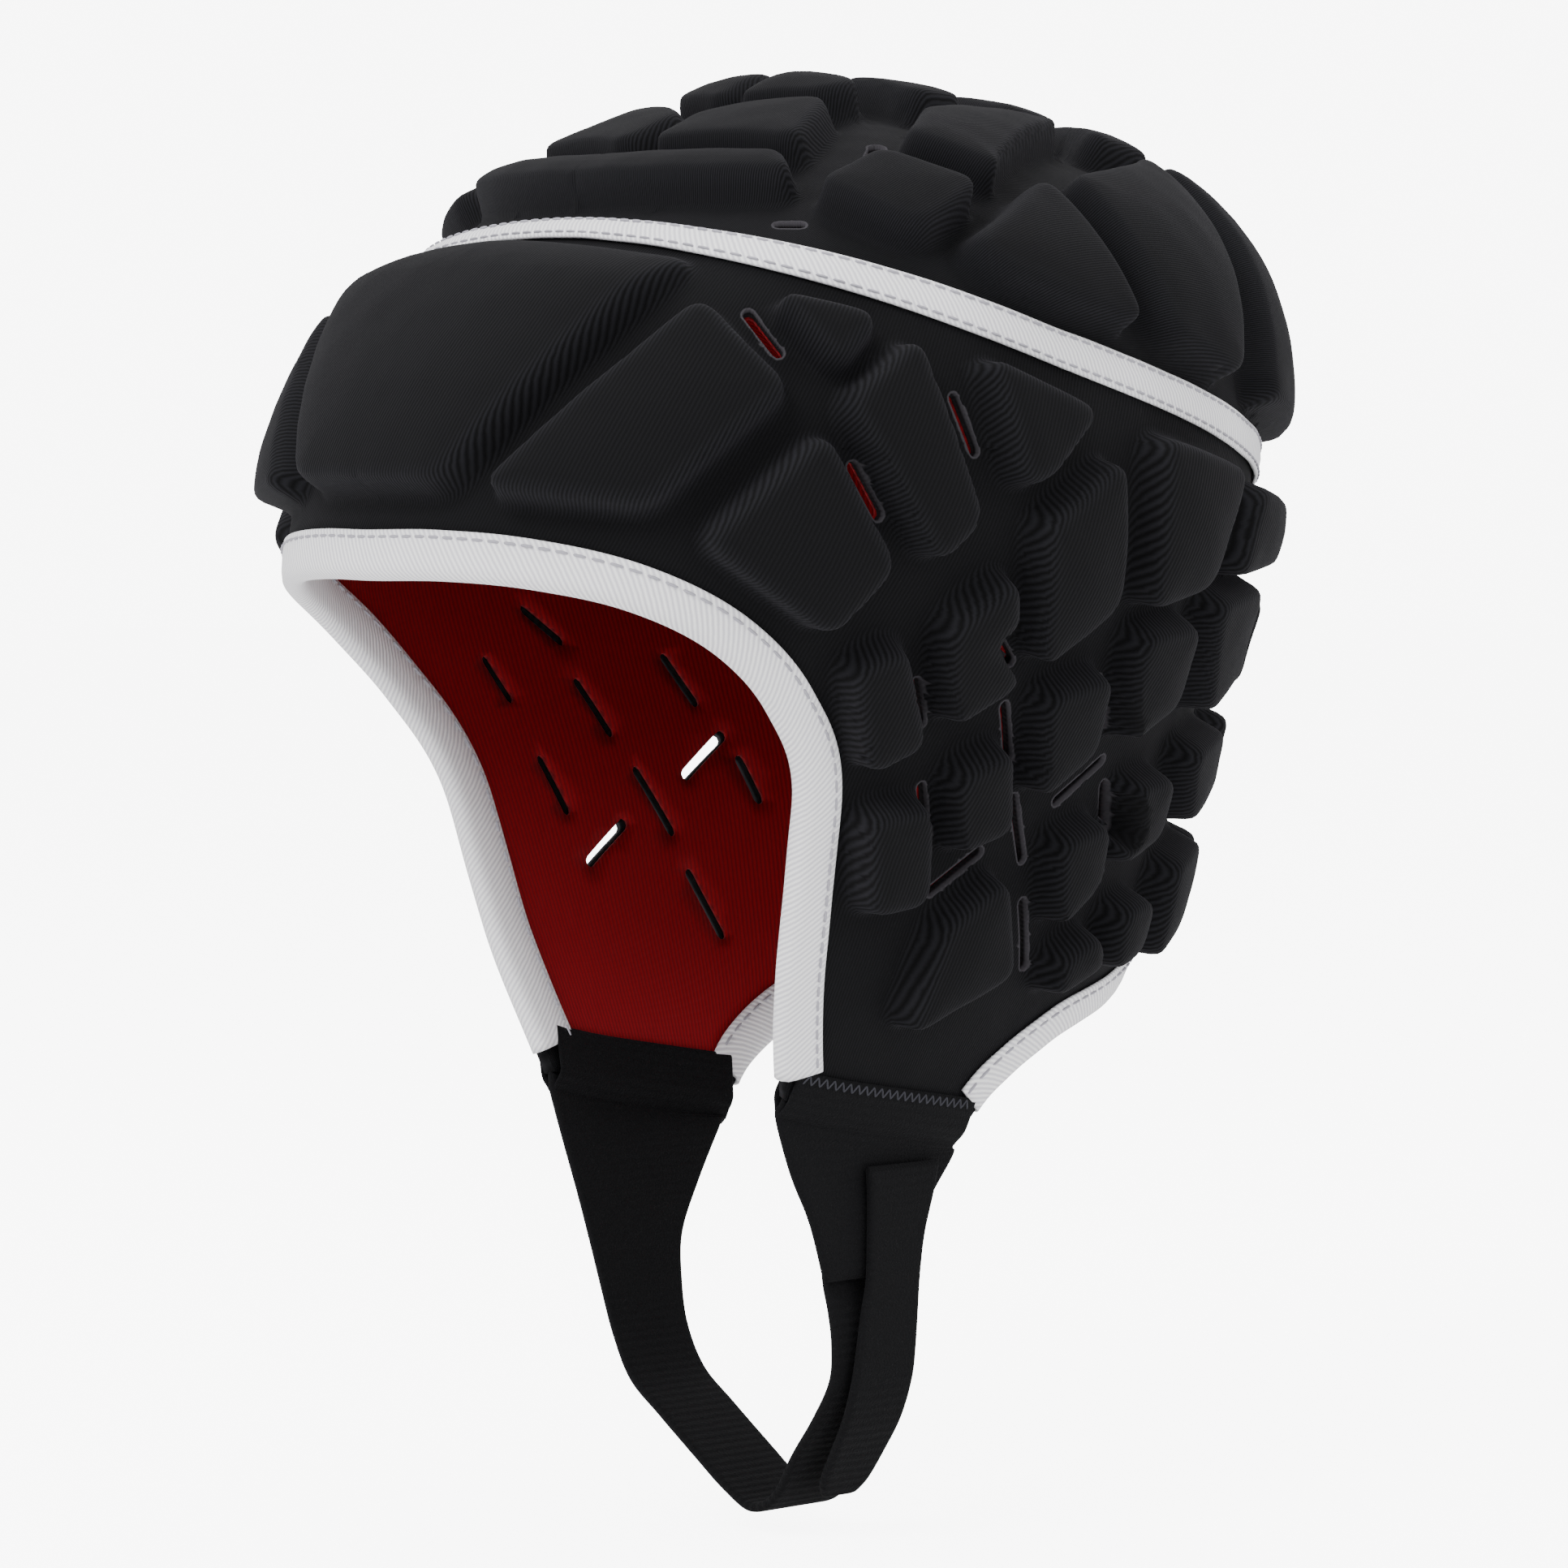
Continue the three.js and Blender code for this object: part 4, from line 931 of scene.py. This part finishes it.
def tape_material(colours):
    """Cotton twill tape: white, matt, with steep diagonal ridges 1.2 mm apart."""
    material, tree, shader = new_material("White twill tape", 0.75, 0.1)
    lines = twill_lines(tree, 35, 1.0)
    colour = add_node(tree, "ShaderNodeMixRGB", {}, {
        "Fac": lines.outputs["Fac"], "Color1": linear(colours.tape_shade), "Color2": linear(colours.tape)})
    tree.links.new(colour.outputs[0], shader.inputs["Base Color"])
    bump = add_node(tree, "ShaderNodeBump", {}, {
        "Height": lines.outputs["Fac"], "Strength": 0.5, "Distance": 0.00015})
    tree.links.new(bump.outputs[0], shader.inputs["Normal"])
    return material


def thread_material(colours):
    """Bonded polyester thread: off white with a slight gloss."""
    material, tree, shader = new_material("Sewing thread", 0.5, 0.0)
    shader.inputs["Base Color"].default_value = linear(colours.thread)
    return material


def dark_thread_material(colours):
    """Bonded polyester thread: dark grey with a slight gloss."""
    material, tree, shader = new_material("Dark sewing thread", 0.55, 0.0)
    shader.inputs["Base Color"].default_value = linear(colours.dark_thread)
    return material


def loop_material(colours):
    """Brushed nylon loop webbing: black pile in cross ribs about 2 mm apart."""
    material, tree, shader = new_material("Black loop webbing", 0.95, 0.05, "#6a6a70")
    ribs = twill_lines(tree, 90, 2.0)
    grain = add_node(tree, "ShaderNodeTexCoord")
    fuzz = add_node(tree, "ShaderNodeTexNoise", {}, {
        "Vector": grain.outputs["Object"], "Scale": 2200.0, "Detail": 2.0})
    pile = add_node(tree, "ShaderNodeMath", {"operation": "MULTIPLY_ADD"}, {
        0: ribs.outputs["Fac"], 1: 0.6, 2: fuzz.outputs["Fac"]})
    colour = add_node(tree, "ShaderNodeMixRGB", {}, {
        "Fac": fuzz.outputs["Fac"], "Color1": linear(colours.loop), "Color2": linear(colours.loop_tip)})
    tree.links.new(colour.outputs[0], shader.inputs["Base Color"])
    bump = add_node(tree, "ShaderNodeBump", {}, {
        "Height": pile.outputs[0], "Strength": 0.8, "Distance": 0.0004})
    tree.links.new(bump.outputs[0], shader.inputs["Normal"])
    return material


# Sizes and colours that a user would change

class CapSizes(bpy.types.PropertyGroup):
    """Lengths of the cap's trim"""

    tape_thickness: bpy.props.FloatProperty(
        name="Tape thickness", description="Thickness of the seam tape and bindings", default=0.0009,
        min=0.0004, max=0.002, subtype="DISTANCE", unit="LENGTH")
    strap_thickness: bpy.props.FloatProperty(
        name="Strap thickness", description="Thickness of the chin strap's webbing", default=0.002,
        min=0.001, max=0.004, subtype="DISTANCE", unit="LENGTH")
    stitch_pitch: bpy.props.FloatProperty(
        name="Stitch pitch", description="Distance from one stitch to the next", default=0.0034,
        min=0.002, max=0.006, subtype="DISTANCE", unit="LENGTH")


class CapColours(bpy.types.PropertyGroup):
    """Colours of the cap's cloths, as sRGB hex values"""

    knit: bpy.props.StringProperty(
        name="Knit", description="Ground colour of the padded knit", default="#040405")
    knit_line: bpy.props.StringProperty(
        name="Knit line", description="Colour of the knit's raised lines", default="#1d1d21")
    # Grey of the painted highlight along the slits' rims
    slit_rim_highlight: bpy.props.StringProperty(
        name="Cut edge", description="Colour of the slits' cut rims", default="#3a383c")
    lining: bpy.props.StringProperty(
        name="Lining", description="Colour of the lining knit", default="#8e0c16")
    lining_shade: bpy.props.StringProperty(
        name="Lining shade", description="Colour between the lining's ribs", default="#6a0610")
    tape: bpy.props.StringProperty(
        name="Tape", description="Colour of the twill tape's ridges", default="#fafafa")
    tape_shade: bpy.props.StringProperty(
        name="Tape shade", description="Colour between the tape's ridges", default="#cfcdd4")
    thread: bpy.props.StringProperty(
        name="Thread", description="Colour of the visible stitches", default="#a3a1aa")
    dark_thread: bpy.props.StringProperty(
        name="Dark thread", description="Colour of the tabs' zigzag stitches", default="#34343a")
    loop: bpy.props.StringProperty(
        name="Loop pile", description="Ground colour of the chin strap", default="#040405")
    loop_tip: bpy.props.StringProperty(
        name="Loop tips", description="Colour of the chin strap's raised loops", default="#101012")


def colours():
    return bpy.context.scene.cap_colours


def sizes():
    return bpy.context.scene.cap_sizes


def shared(make):
    """A material that several pieces share, made once."""
    if make.__name__ not in MADE:
        MADE[make.__name__] = make(colours())
    return MADE[make.__name__]


MADE = {}


# Pieces

def panel_values(places, distance, is_outer, slits):
    """How far the knit is stretched, and where the painted highlight along the slits' rims goes."""
    stretch = np.clip(1 - np.abs(distance - 0.8) / 3.0, 0, 1)
    # The outer skin's points on each slit's outline, where a grey highlight is painted
    rim = np.zeros(len(places))
    for slit in slits:
        rim[(nearest_gap(places, slit) < 0.05) & is_outer] = 1
    return {"stretch": stretch, "rim": rim}


def padded_piece(name, chart, pads, slit_ends, border, seam, drops, extra):
    """Foam pads under one knit cover, with a plain back and open ventilation slits."""
    outlines = [pad_outline(corners) for corners in pads.values()]
    widths = {key: WIDE_SLITS.get(key, SLIT_WIDTH) for key in slit_ends}
    slits = [slit_outline(ends, widths[key]) for key, ends in slit_ends.items()]
    rims = [slit_outline(ends, widths[key] + 1.7, 7) for key, ends in slit_ends.items()]
    fill = padded_fill(chart, border, slits, outlines, extra + rims)

    def lift(turn, down):
        places = np.stack([turn, down], -1)
        xyz = form_floor(turn, down)
        height = pad_height(pad_distance(chart, turn, down, outlines))
        height = height * (1 + 0.03 * ripple(xyz, 34, 3)) + 0.12 * ripple(xyz, 11, 5)
        share = np.ones(len(turn))
        for slit in slits:
            share = np.minimum(share, np.clip((nearest_gap(places, slit) - 0.3) / 2.6, 0, 1) ** 0.7)
        for line, start, width in drops:
            f = np.clip((nearest_gap(places, line) - start) / width(turn), 0, 1)
            share = share * np.sin(f * math.pi / 2)
        return height * share

    back = clear_of(chart, even_fill(chart, border, slits, 6.0), [border] + slits, 2.0, slits)
    points, faces, flat, places = half_shell(
        chart, border, slits, (fill, lift), (back, lambda t, d: np.full(len(t), -SHELL_WALL)))
    distance = pad_distance(chart, places[:, 0], places[:, 1], outlines)
    half = len(places) // 2
    rise = ((points[:half] - form_floor(places[:half, 0], places[:half, 1]))
            * form_normal(places[:half, 0], places[:half, 1])).sum(-1)
    values = panel_values(places, distance, np.tile(rise > -SHELL_WALL / 2, 2), slits)
    piece = new_piece(name + "_pads", name, "black_padded_knit", shared(knit_material),
                      points, faces, flat, values)
    return piece


def seam_fall(turn):
    """Millimetres over which the padding falls to the seam tape, longer over the forehead."""
    return 6.5 + 13.5 * np.clip((58 - np.abs(turn)) / 20, 0, 1)


class MakeLowerPanel(bpy.types.Operator):
    """The padded panel round the forehead, ears and nape"""

    bl_idname = "scrum_cap.lower_panel"
    bl_label = "Lower panel"

    def execute(self, context):
        clean_start()
        seam = seam_line(GAP / 2)
        edge = edge_line()
        fine_seam = seam_line(0, 1.0)
        fine_edge = edge_line(1.0)
        extra = [seam_line(r, 1.6) for r in (4.2, 4.8, 5.4, 6.0, 6.8)]
        extra += [inset_edge(r, 1.6) for r in (8.8, 9.5, 10.3, 11.2)]
        padded_piece("lower_panel", SideChart, LOWER_PADS, LOWER_SLITS, lower_border(seam, edge, 1.3),
                     seam, [(fine_seam, 3.9, seam_fall), (fine_edge, 8.5, lambda turn: 2.8)], extra)
        return {"FINISHED"}


class MakeCrownPanel(bpy.types.Operator):
    """The padded crown above the seam tape"""

    bl_idname = "scrum_cap.crown_panel"
    bl_label = "Crown panel"

    def execute(self, context):
        clean_start()
        seam = seam_line(-GAP / 2)
        extra = [seam_line(-r, 1.6) for r in (4.2, 4.8, 5.4, 6.0, 6.8)]
        padded_piece("crown_panel", CrownChart, CROWN_PADS, CROWN_SLITS, crown_border(seam, 1.3),
                     seam, [(seam_line(0, 1.0), 3.9, lambda turn: 2.6)], extra)
        return {"FINISHED"}


class MakeLinings(bpy.types.Operator):
    """The red lining cloth inside the lower panel and inside the crown"""

    bl_idname = "scrum_cap.linings"
    bl_label = "Linings"

    def execute(self, context):
        clean_start()
        outer, inner = -SHELL_WALL - GAP, -STACK
        for name, chart, border, slit_ends, flat, area, backing in (
                ("lower_lining", SideChart, lower_border(seam_line(GAP / 2), inset_edge(LINING_INSET), 3.0),
                 LOWER_SLITS, (0.56, 0.2), 0.06, "lower_panel_pads"),
                ("crown_lining", CrownChart, crown_border(seam_line(-GAP / 2), 3.0),
                 CROWN_SLITS, (0.2, 0.24), 0.034, "crown_panel_pads")):
            slits = [slit_outline(ends, WIDE_SLITS.get(key, SLIT_WIDTH) + 0.2)
                     for key, ends in slit_ends.items()]
            fill = clear_of(chart, even_fill(chart, border, slits, 4.0), [border] + slits, 1.5, slits)
            points, faces, uv, _ = half_shell(
                chart, border, slits, (fill, lambda t, d: np.full(len(t), outer)),
                (fill, lambda t, d: np.full(len(t), inner)))
            piece = new_piece(name + "_cloth", name, "red_lining_knit", shared(lining_material),
                              points, faces, uv)
        return {"FINISHED"}


def stitch_row(path, inward, across, lift, pitch):
    """A row of short stitches along a path, as one mesh."""
    xyz = form_floor(path[:, 0], path[:, 1])
    length = np.concatenate([[0], np.cumsum(np.linalg.norm(np.diff(xyz, axis=0), axis=1))])
    count = int(length[-1] / pitch)
    starts = (np.arange(count) + 0.5) * pitch
    sections = []
    for share, radius in ((-0.36, 0.08), (-0.3, 0.24), (0, 0.3), (0.3, 0.24), (0.36, 0.08)):
        at = starts + share * pitch
        turn = np.interp(at, length, path[:, 0])
        down = np.interp(at, length, path[:, 1])
        side = unit(np.stack([np.interp(at, length, inward[:, k]) for k in range(3)], -1))
        ring = []
        for angle in np.radians((0, 60, 120, 180, 240, 300)):
            t, d = stroll(turn, down, side, across + radius * math.cos(angle), 1)
            rise = lift + radius * math.sin(angle) - (0.12 if abs(share) > 0.32 else 0)
            ring.append(on_form(t, d, np.full(len(t), rise)))
        sections.append(np.stack(ring, 1))
    points = np.stack(sections, 1)
    faces = []
    single = tube_faces(len(sections), 6, False)
    for k in range(count):
        faces.extend(tuple(i + k * 30 for i in face) for face in single)
    flat = np.zeros((count * 30, 2))
    return points.reshape(-1, 3), faces, flat


def rounded_strip(width, lift, thickness, crown):
    """A flat tape's section with rounded edges and a slight crown."""
    w, t = width / 2, thickness
    return [(-w, lift + 0.15), (-w + 0.15, lift), (0, lift), (w - 0.15, lift), (w, lift + 0.15),
            (w, lift + 0.55 * t), (w - 0.35, lift + 0.92 * t), (w * 0.6, lift + t),
            (0, lift + t + crown), (-w * 0.6, lift + t), (-w + 0.35, lift + 0.92 * t), (-w, lift + 0.55 * t)]


class MakeSeamTape(bpy.types.Operator):
    """The white tape over the crown seam, with its two rows of stitches"""

    bl_idname = "scrum_cap.seam_tape"
    bl_label = "Seam tape"

    def execute(self, context):
        clean_start()
        left = seam_line(0, 1.6)
        path = np.vstack([mirrored_path(left)[:-1], left[:-1]])
        inward = inward_of(path, path[-1], path[0])
        thickness = sizes().tape_thickness / MM

        def swell(across, lift):
            spot = on_form(path[:, 0], path[:, 1], np.full(len(path), across))
            return 0.1 * ripple(spot, 13, 9) if lift > 0.4 else 0.0

        mesh = trim_mesh(path, inward, rounded_strip(TAPE_WIDTH, TAPE_LIFT, thickness, 0.25), True, swell)
        new_piece("seam_tape_twill", "seam_tape", "white_twill_tape", shared(tape_material), *mesh)
        rows = [stitch_row(path, inward, across, TAPE_LIFT + thickness + 0.14, sizes().stitch_pitch / MM)
                for across in (-2.9, 2.9)]
        new_piece("seam_tape_stitches", "seam_tape", "white_twill_tape", shared(thread_material),
                  *joined(*rows))
        return {"FINISHED"}


def binding_section(thickness):
    """The section of a tape folded round the panel's edge and over the lining's."""
    t = thickness
    under = -SHELL_WALL
    low = -STACK - 0.1
    w = BINDING_WIDTH
    return [
        (w, GAP + 0.15), (w, GAP + 0.6 * t), (w - 0.35, GAP + 0.95 * t), (w * 0.6, GAP + 1.1 * t),
        (w * 0.25, GAP + 1.1 * t), (0.3, GAP + 0.85 * t), (-0.8, GAP * 0.3), (-1.35, under * 0.35),
        (-1.3, under * 0.85), (-0.6, under - 0.9), (0.9, under - 1.45), (3.2, low - 0.75 * t), (w - 0.5, low - t),
        (w, low - 0.7 * t), (w, low - 0.15), (w - 0.6, low), (4.0, low + 0.1), (1.5, under - 0.7),
        (0.2, under - 0.3), (-0.35, under * 0.8), (-0.4, under * 0.4), (0.1, 0.15), (1.2, GAP), (w - 0.4, GAP),
    ]


class MakeBindings(bpy.types.Operator):
    """The white bindings round the face opening and the nape, with their stitches"""

    bl_idname = "scrum_cap.bindings"
    bl_label = "Bindings"

    def execute(self, context):
        clean_start()
        thickness = sizes().tape_thickness / MM
        face = face_line(1.6)[:-3]
        nape = nape_line(1.6)[3:]
        paths = {
            "face_binding": (np.vstack([mirrored_path(face)[:-1], face])),
            "nape_binding": (np.vstack([nape, (360, 0) + mirrored_path(nape)[1:]])),
        }
        for name, path in paths.items():
            inward = inward_of(path)

            def swell(across, lift):
                spot = on_form(path[:, 0], path[:, 1], np.full(len(path), across))
                return 0.12 * ripple(spot, 15, 11)

            mesh = trim_mesh(path, inward, binding_section(thickness), False, swell)
            new_piece(name + "_twill", name, "white_twill_tape", shared(tape_material), *mesh)
            outer = stitch_row(path, inward, BINDING_WIDTH - 1.6, GAP + thickness + 0.12, sizes().stitch_pitch / MM)
            inner = stitch_row(path, inward, BINDING_WIDTH - 1.6, -STACK - 0.2 - thickness, sizes().stitch_pitch / MM)
            new_piece(name + "_stitches", name, "white_twill_tape", shared(thread_material),
                      *joined(outer, inner))
        return {"FINISHED"}


TAB_END = form_floor(TAB_EDGE[2][0], TAB_EDGE[2][1])[2]
ACROSS = np.array([0, 0.008, 0.025, 0.055, 0.12, 0.22, 0.35, 0.5, 0.65, 0.78, 0.88, 0.945, 0.975, 0.992, 1])


def strap_rows(table):
    """Rows of points across the strap from its front edge to its rear one."""
    rows = []
    for across, below, front, rear in table:
        offset = (front + (rear - front) * ACROSS) * STRAP_WIDTH - STRAP_SETBACK
        rows.append(np.stack([np.full(len(ACROSS), across * STRAP_SPREAD), offset,
                              np.full(len(ACROSS), TAB_END - below * STRAP_DROP)], -1))
    return rows


def tab_row(is_left, across, lift):
    """A row of points along a tab's edge, a distance into the panel from it."""
    fine = tab_line(0.5)
    xyz = form_floor(fine[:, 0], fine[:, 1])
    length = np.concatenate([[0], np.cumsum(np.linalg.norm(np.diff(xyz, axis=0), axis=1))])
    turn = np.interp(ACROSS * length[-1], length, fine[:, 0])
    down = np.interp(ACROSS * length[-1], length, fine[:, 1])
    path = np.stack([turn, down], -1)
    inward = inward_of(path)
    turn, down = stroll(turn, down, inward, across)
    row = on_form(turn, down, np.full(len(turn), lift))
    return row if is_left else row * (-1, 1, 1)


def tab_leg(is_left, start, lift, thickness):
    """The part of a tab that laps over the panel's edge."""
    rows = [tab_row(is_left, across, lift + drop)
            for across, drop in ((start, 0), (start * 0.6, 0.05), (start * 0.25, 0.05), (0.2, 0))]
    side = 1 if lift > 0 else -1
    sink = 1 if lift > 0 else 1.7
    for across, drop in ((-1.2, -0.35 * sink), (-2.6, -1.1 * sink), (-4.4, -1.9 * sink)):
        rows.append(tab_row(is_left, across, lift + side * drop))
    fine = catmull(rows, 4)
    return ribbon(*even_rows(fine, 0.8), thickness)


def zigzag(is_left, across, swing, lift, pitch):
    """A row of zigzag stitches along a tab's upper edge."""
    near, far = (tab_row(is_left, across + side * swing, lift) for side in (-1, 1))
    rows = catmull(np.stack([near, far], 1), 12)
    length = np.concatenate([[0], np.cumsum(np.linalg.norm(np.diff(rows.mean(1), axis=0), axis=1))])
    at = np.arange(1.5, length[-1] - 1.5, pitch / 2)
    lines = [np.stack([np.interp(at, length, rows[:, side, k]) for k in range(3)], -1) for side in (0, 1)]
    points = np.where((np.arange(len(at)) % 2 == 0)[:, None], lines[0], lines[1])
    up = unit(np.cross(lines[1] - lines[0], np.gradient(lines[0], axis=0)))
    up = up * np.sign((up * (points - (0, 0, points[:, 2].mean()))).sum(-1, keepdims=True))
    rings = []
    for a, b, n in zip(points[:-1], points[1:], up):
        run = unit(b - a)
        side = np.cross(run, n)
        for share, radius in ((0, 0.12), (0.12, 0.2), (0.5, 0.24), (0.88, 0.2), (1, 0.12)):
            middle = a + (b - a) * share
            rings.append([middle + radius * (math.cos(t) * side + math.sin(t) * n)
                          for t in np.radians((0, 72, 144, 216, 288))])
    single = tube_faces(5, 5, False)
    faces = [tuple(i + k * 25 for i in face) for k in range(len(points) - 1) for face in single]
    spots = np.array(rings).reshape(-1, 3)
    return spots, faces, np.zeros((len(spots), 2))


class MakeStraps(bpy.types.Operator):
    """The ear tabs, the long chin strap from the right and the strap's end on the left"""

    bl_idname = "scrum_cap.straps"
    bl_label = "Straps"

    def execute(self, context):
        clean_start()
        thickness = sizes().strap_thickness / MM
        root = [(0.2, -SHELL_WALL / 2), (-1.6, -SHELL_WALL / 2), (-4.3, -SHELL_WALL / 2)]
        for name, is_left, table in (("right_strap", False, RIGHT_STRAP), ("left_tab", True, LEFT_TAB)):
            rows = [tab_row(is_left, across, lift) for across, lift in root] + strap_rows(table)
            band = ribbon(*even_rows(catmull(rows, 8), 1.0), thickness)
            legs = [tab_leg(is_left, TAB_OVERLAP, GAP + 0.5, 0.9), tab_leg(is_left, 9.5, -STACK - 0.7, 0.9)]
            new_piece(name + "_webbing", name, "black_loop_strap", shared(loop_material),
                      *joined(band, *legs))
            rows = [zigzag(is_left, TAB_OVERLAP - inset, 1.0, GAP + 1.0, 2.2) for inset in (1.4,)]
            new_piece(name + "_stitches", name, "black_loop_strap", shared(dark_thread_material),
                      *joined(*rows))
        band = ribbon(*even_rows(catmull(strap_rows(LEFT_STRAP), 8), 1.0), thickness)
        new_piece("left_strap_webbing", "left_strap", "black_loop_strap", shared(loop_material), *band)
        return {"FINISHED"}


# Stage

CAMERA_TURN = 47.0
CAMERA_RISE = 3.0
CAMERA_REACH = 1.25
CAMERA_TARGET = (0, 0, -0.138)
CAMERA_LENS = 135.1
FLOOR_DEPTH = -0.2945
GROUND_GLOW = 7.0
SKY_STRENGTH = 1.12


def aimed(thing, place, target):
    thing.location = place
    thing.rotation_mode = "QUATERNION"
    thing.rotation_quaternion = (Vector(target) - Vector(place)).to_track_quat("-Z", "Y")


def area_light(name, place, size, power):
    light = bpy.data.lights.new(name, "AREA")
    light.shape = "SQUARE"
    light.size = size
    light.energy = power
    lamp = bpy.data.objects.new(name, light)
    bpy.context.scene.collection.objects.link(lamp)
    aimed(lamp, place, (0, 0, -0.12))
    return lamp


class MakeStage(bpy.types.Operator):
    """The pale floor, the soft studio lights and the camera"""

    bl_idname = "scrum_cap.stage"
    bl_label = "Stage"

    def execute(self, context):
        clean_start()
        bpy.ops.mesh.primitive_plane_add(size=12, location=(0, 0, FLOOR_DEPTH))
        floor = bpy.context.object
        floor.name = "studio_floor"
        material, tree, shader = new_material("Pale studio paper", 0.9, 0.0)
        shader.inputs["Base Color"].default_value = linear("#f4f4f4")
        shader.inputs["Emission Color"].default_value = linear("#ffffff")
        path = add_node(tree, "ShaderNodeLightPath")
        seen = add_node(tree, "ShaderNodeMath", {"operation": "MULTIPLY"}, {
            0: path.outputs["Is Camera Ray"], 1: GROUND_GLOW})
        tree.links.new(seen.outputs[0], shader.inputs["Emission Strength"])
        floor.data.materials.append(material)
        world = bpy.data.worlds.new("Studio")
        context.scene.world = world
        world.use_nodes = True
        background = world.node_tree.nodes["Background"]
        background.inputs["Color"].default_value = linear("#ffffff")
        path = add_node(world.node_tree, "ShaderNodeLightPath")
        seen = add_node(world.node_tree, "ShaderNodeMath", {"operation": "MULTIPLY_ADD"}, {
            0: path.outputs["Is Camera Ray"], 1: GROUND_GLOW, 2: SKY_STRENGTH})
        world.node_tree.links.new(seen.outputs[0], background.inputs["Strength"])
        area_light("Key light", (0.2, -1.3, 1.1), 0.8, 26)
        area_light("Fill light", (1.5, 0.2, 0.5), 1.2, 7)
        area_light("Top light", (-0.2, 0.3, 1.6), 1.2, 14)
        camera = bpy.data.cameras.new("Camera")
        camera.lens = CAMERA_LENS
        camera.sensor_width = 36
        camera.clip_start, camera.clip_end = 0.05, 50
        holder = bpy.data.objects.new("Camera", camera)
        context.scene.collection.objects.link(holder)
        turn, rise = math.radians(CAMERA_TURN), math.radians(CAMERA_RISE)
        back = Vector((math.sin(turn) * math.cos(rise), -math.cos(turn) * math.cos(rise), math.sin(rise)))
        aimed(holder, Vector(CAMERA_TARGET) + back * CAMERA_REACH, CAMERA_TARGET)
        context.scene.camera = holder
        return {"FINISHED"}


class CapPanel(bpy.types.Panel):
    """Sizes, colours and pieces of the cap"""

    bl_label = "Scrum cap"
    bl_idname = "VIEW3D_PT_scrum_cap"
    bl_space_type = "VIEW_3D"
    bl_region_type = "UI"
    bl_category = "Scrum cap"

    def draw(self, context):
        column = self.layout.column()
        for group in (context.scene.cap_sizes, context.scene.cap_colours):
            for key in group.__annotations__:
                column.prop(group, key)
        for maker in OPERATORS:
            column.operator(maker.bl_idname)


OPERATORS = (MakeLowerPanel, MakeCrownPanel, MakeLinings, MakeSeamTape, MakeBindings, MakeStraps, MakeStage)
CLASSES = (CapSizes, CapColours) + OPERATORS + (CapPanel,)


def register():
    for item in CLASSES:
        bpy.utils.register_class(item)
    bpy.types.Scene.cap_sizes = bpy.props.PointerProperty(type=CapSizes)
    bpy.types.Scene.cap_colours = bpy.props.PointerProperty(type=CapColours)


def unregister():
    del bpy.types.Scene.cap_sizes
    del bpy.types.Scene.cap_colours
    for item in reversed(CLASSES):
        bpy.utils.unregister_class(item)


def main():
    register()
    for maker in OPERATORS:
        group, action = maker.bl_idname.split(".")
        started = time.time()
        getattr(getattr(bpy.ops, group), action)()
        print(maker.bl_label, round(time.time() - started, 1), "s")
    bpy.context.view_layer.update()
    for piece in bpy.data.objects:
        if piece.type == "MESH" and "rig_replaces" in piece:
            print(piece.name, sum(len(p.vertices) - 2 for p in piece.data.polygons))


if __name__ == "__main__":
    main()
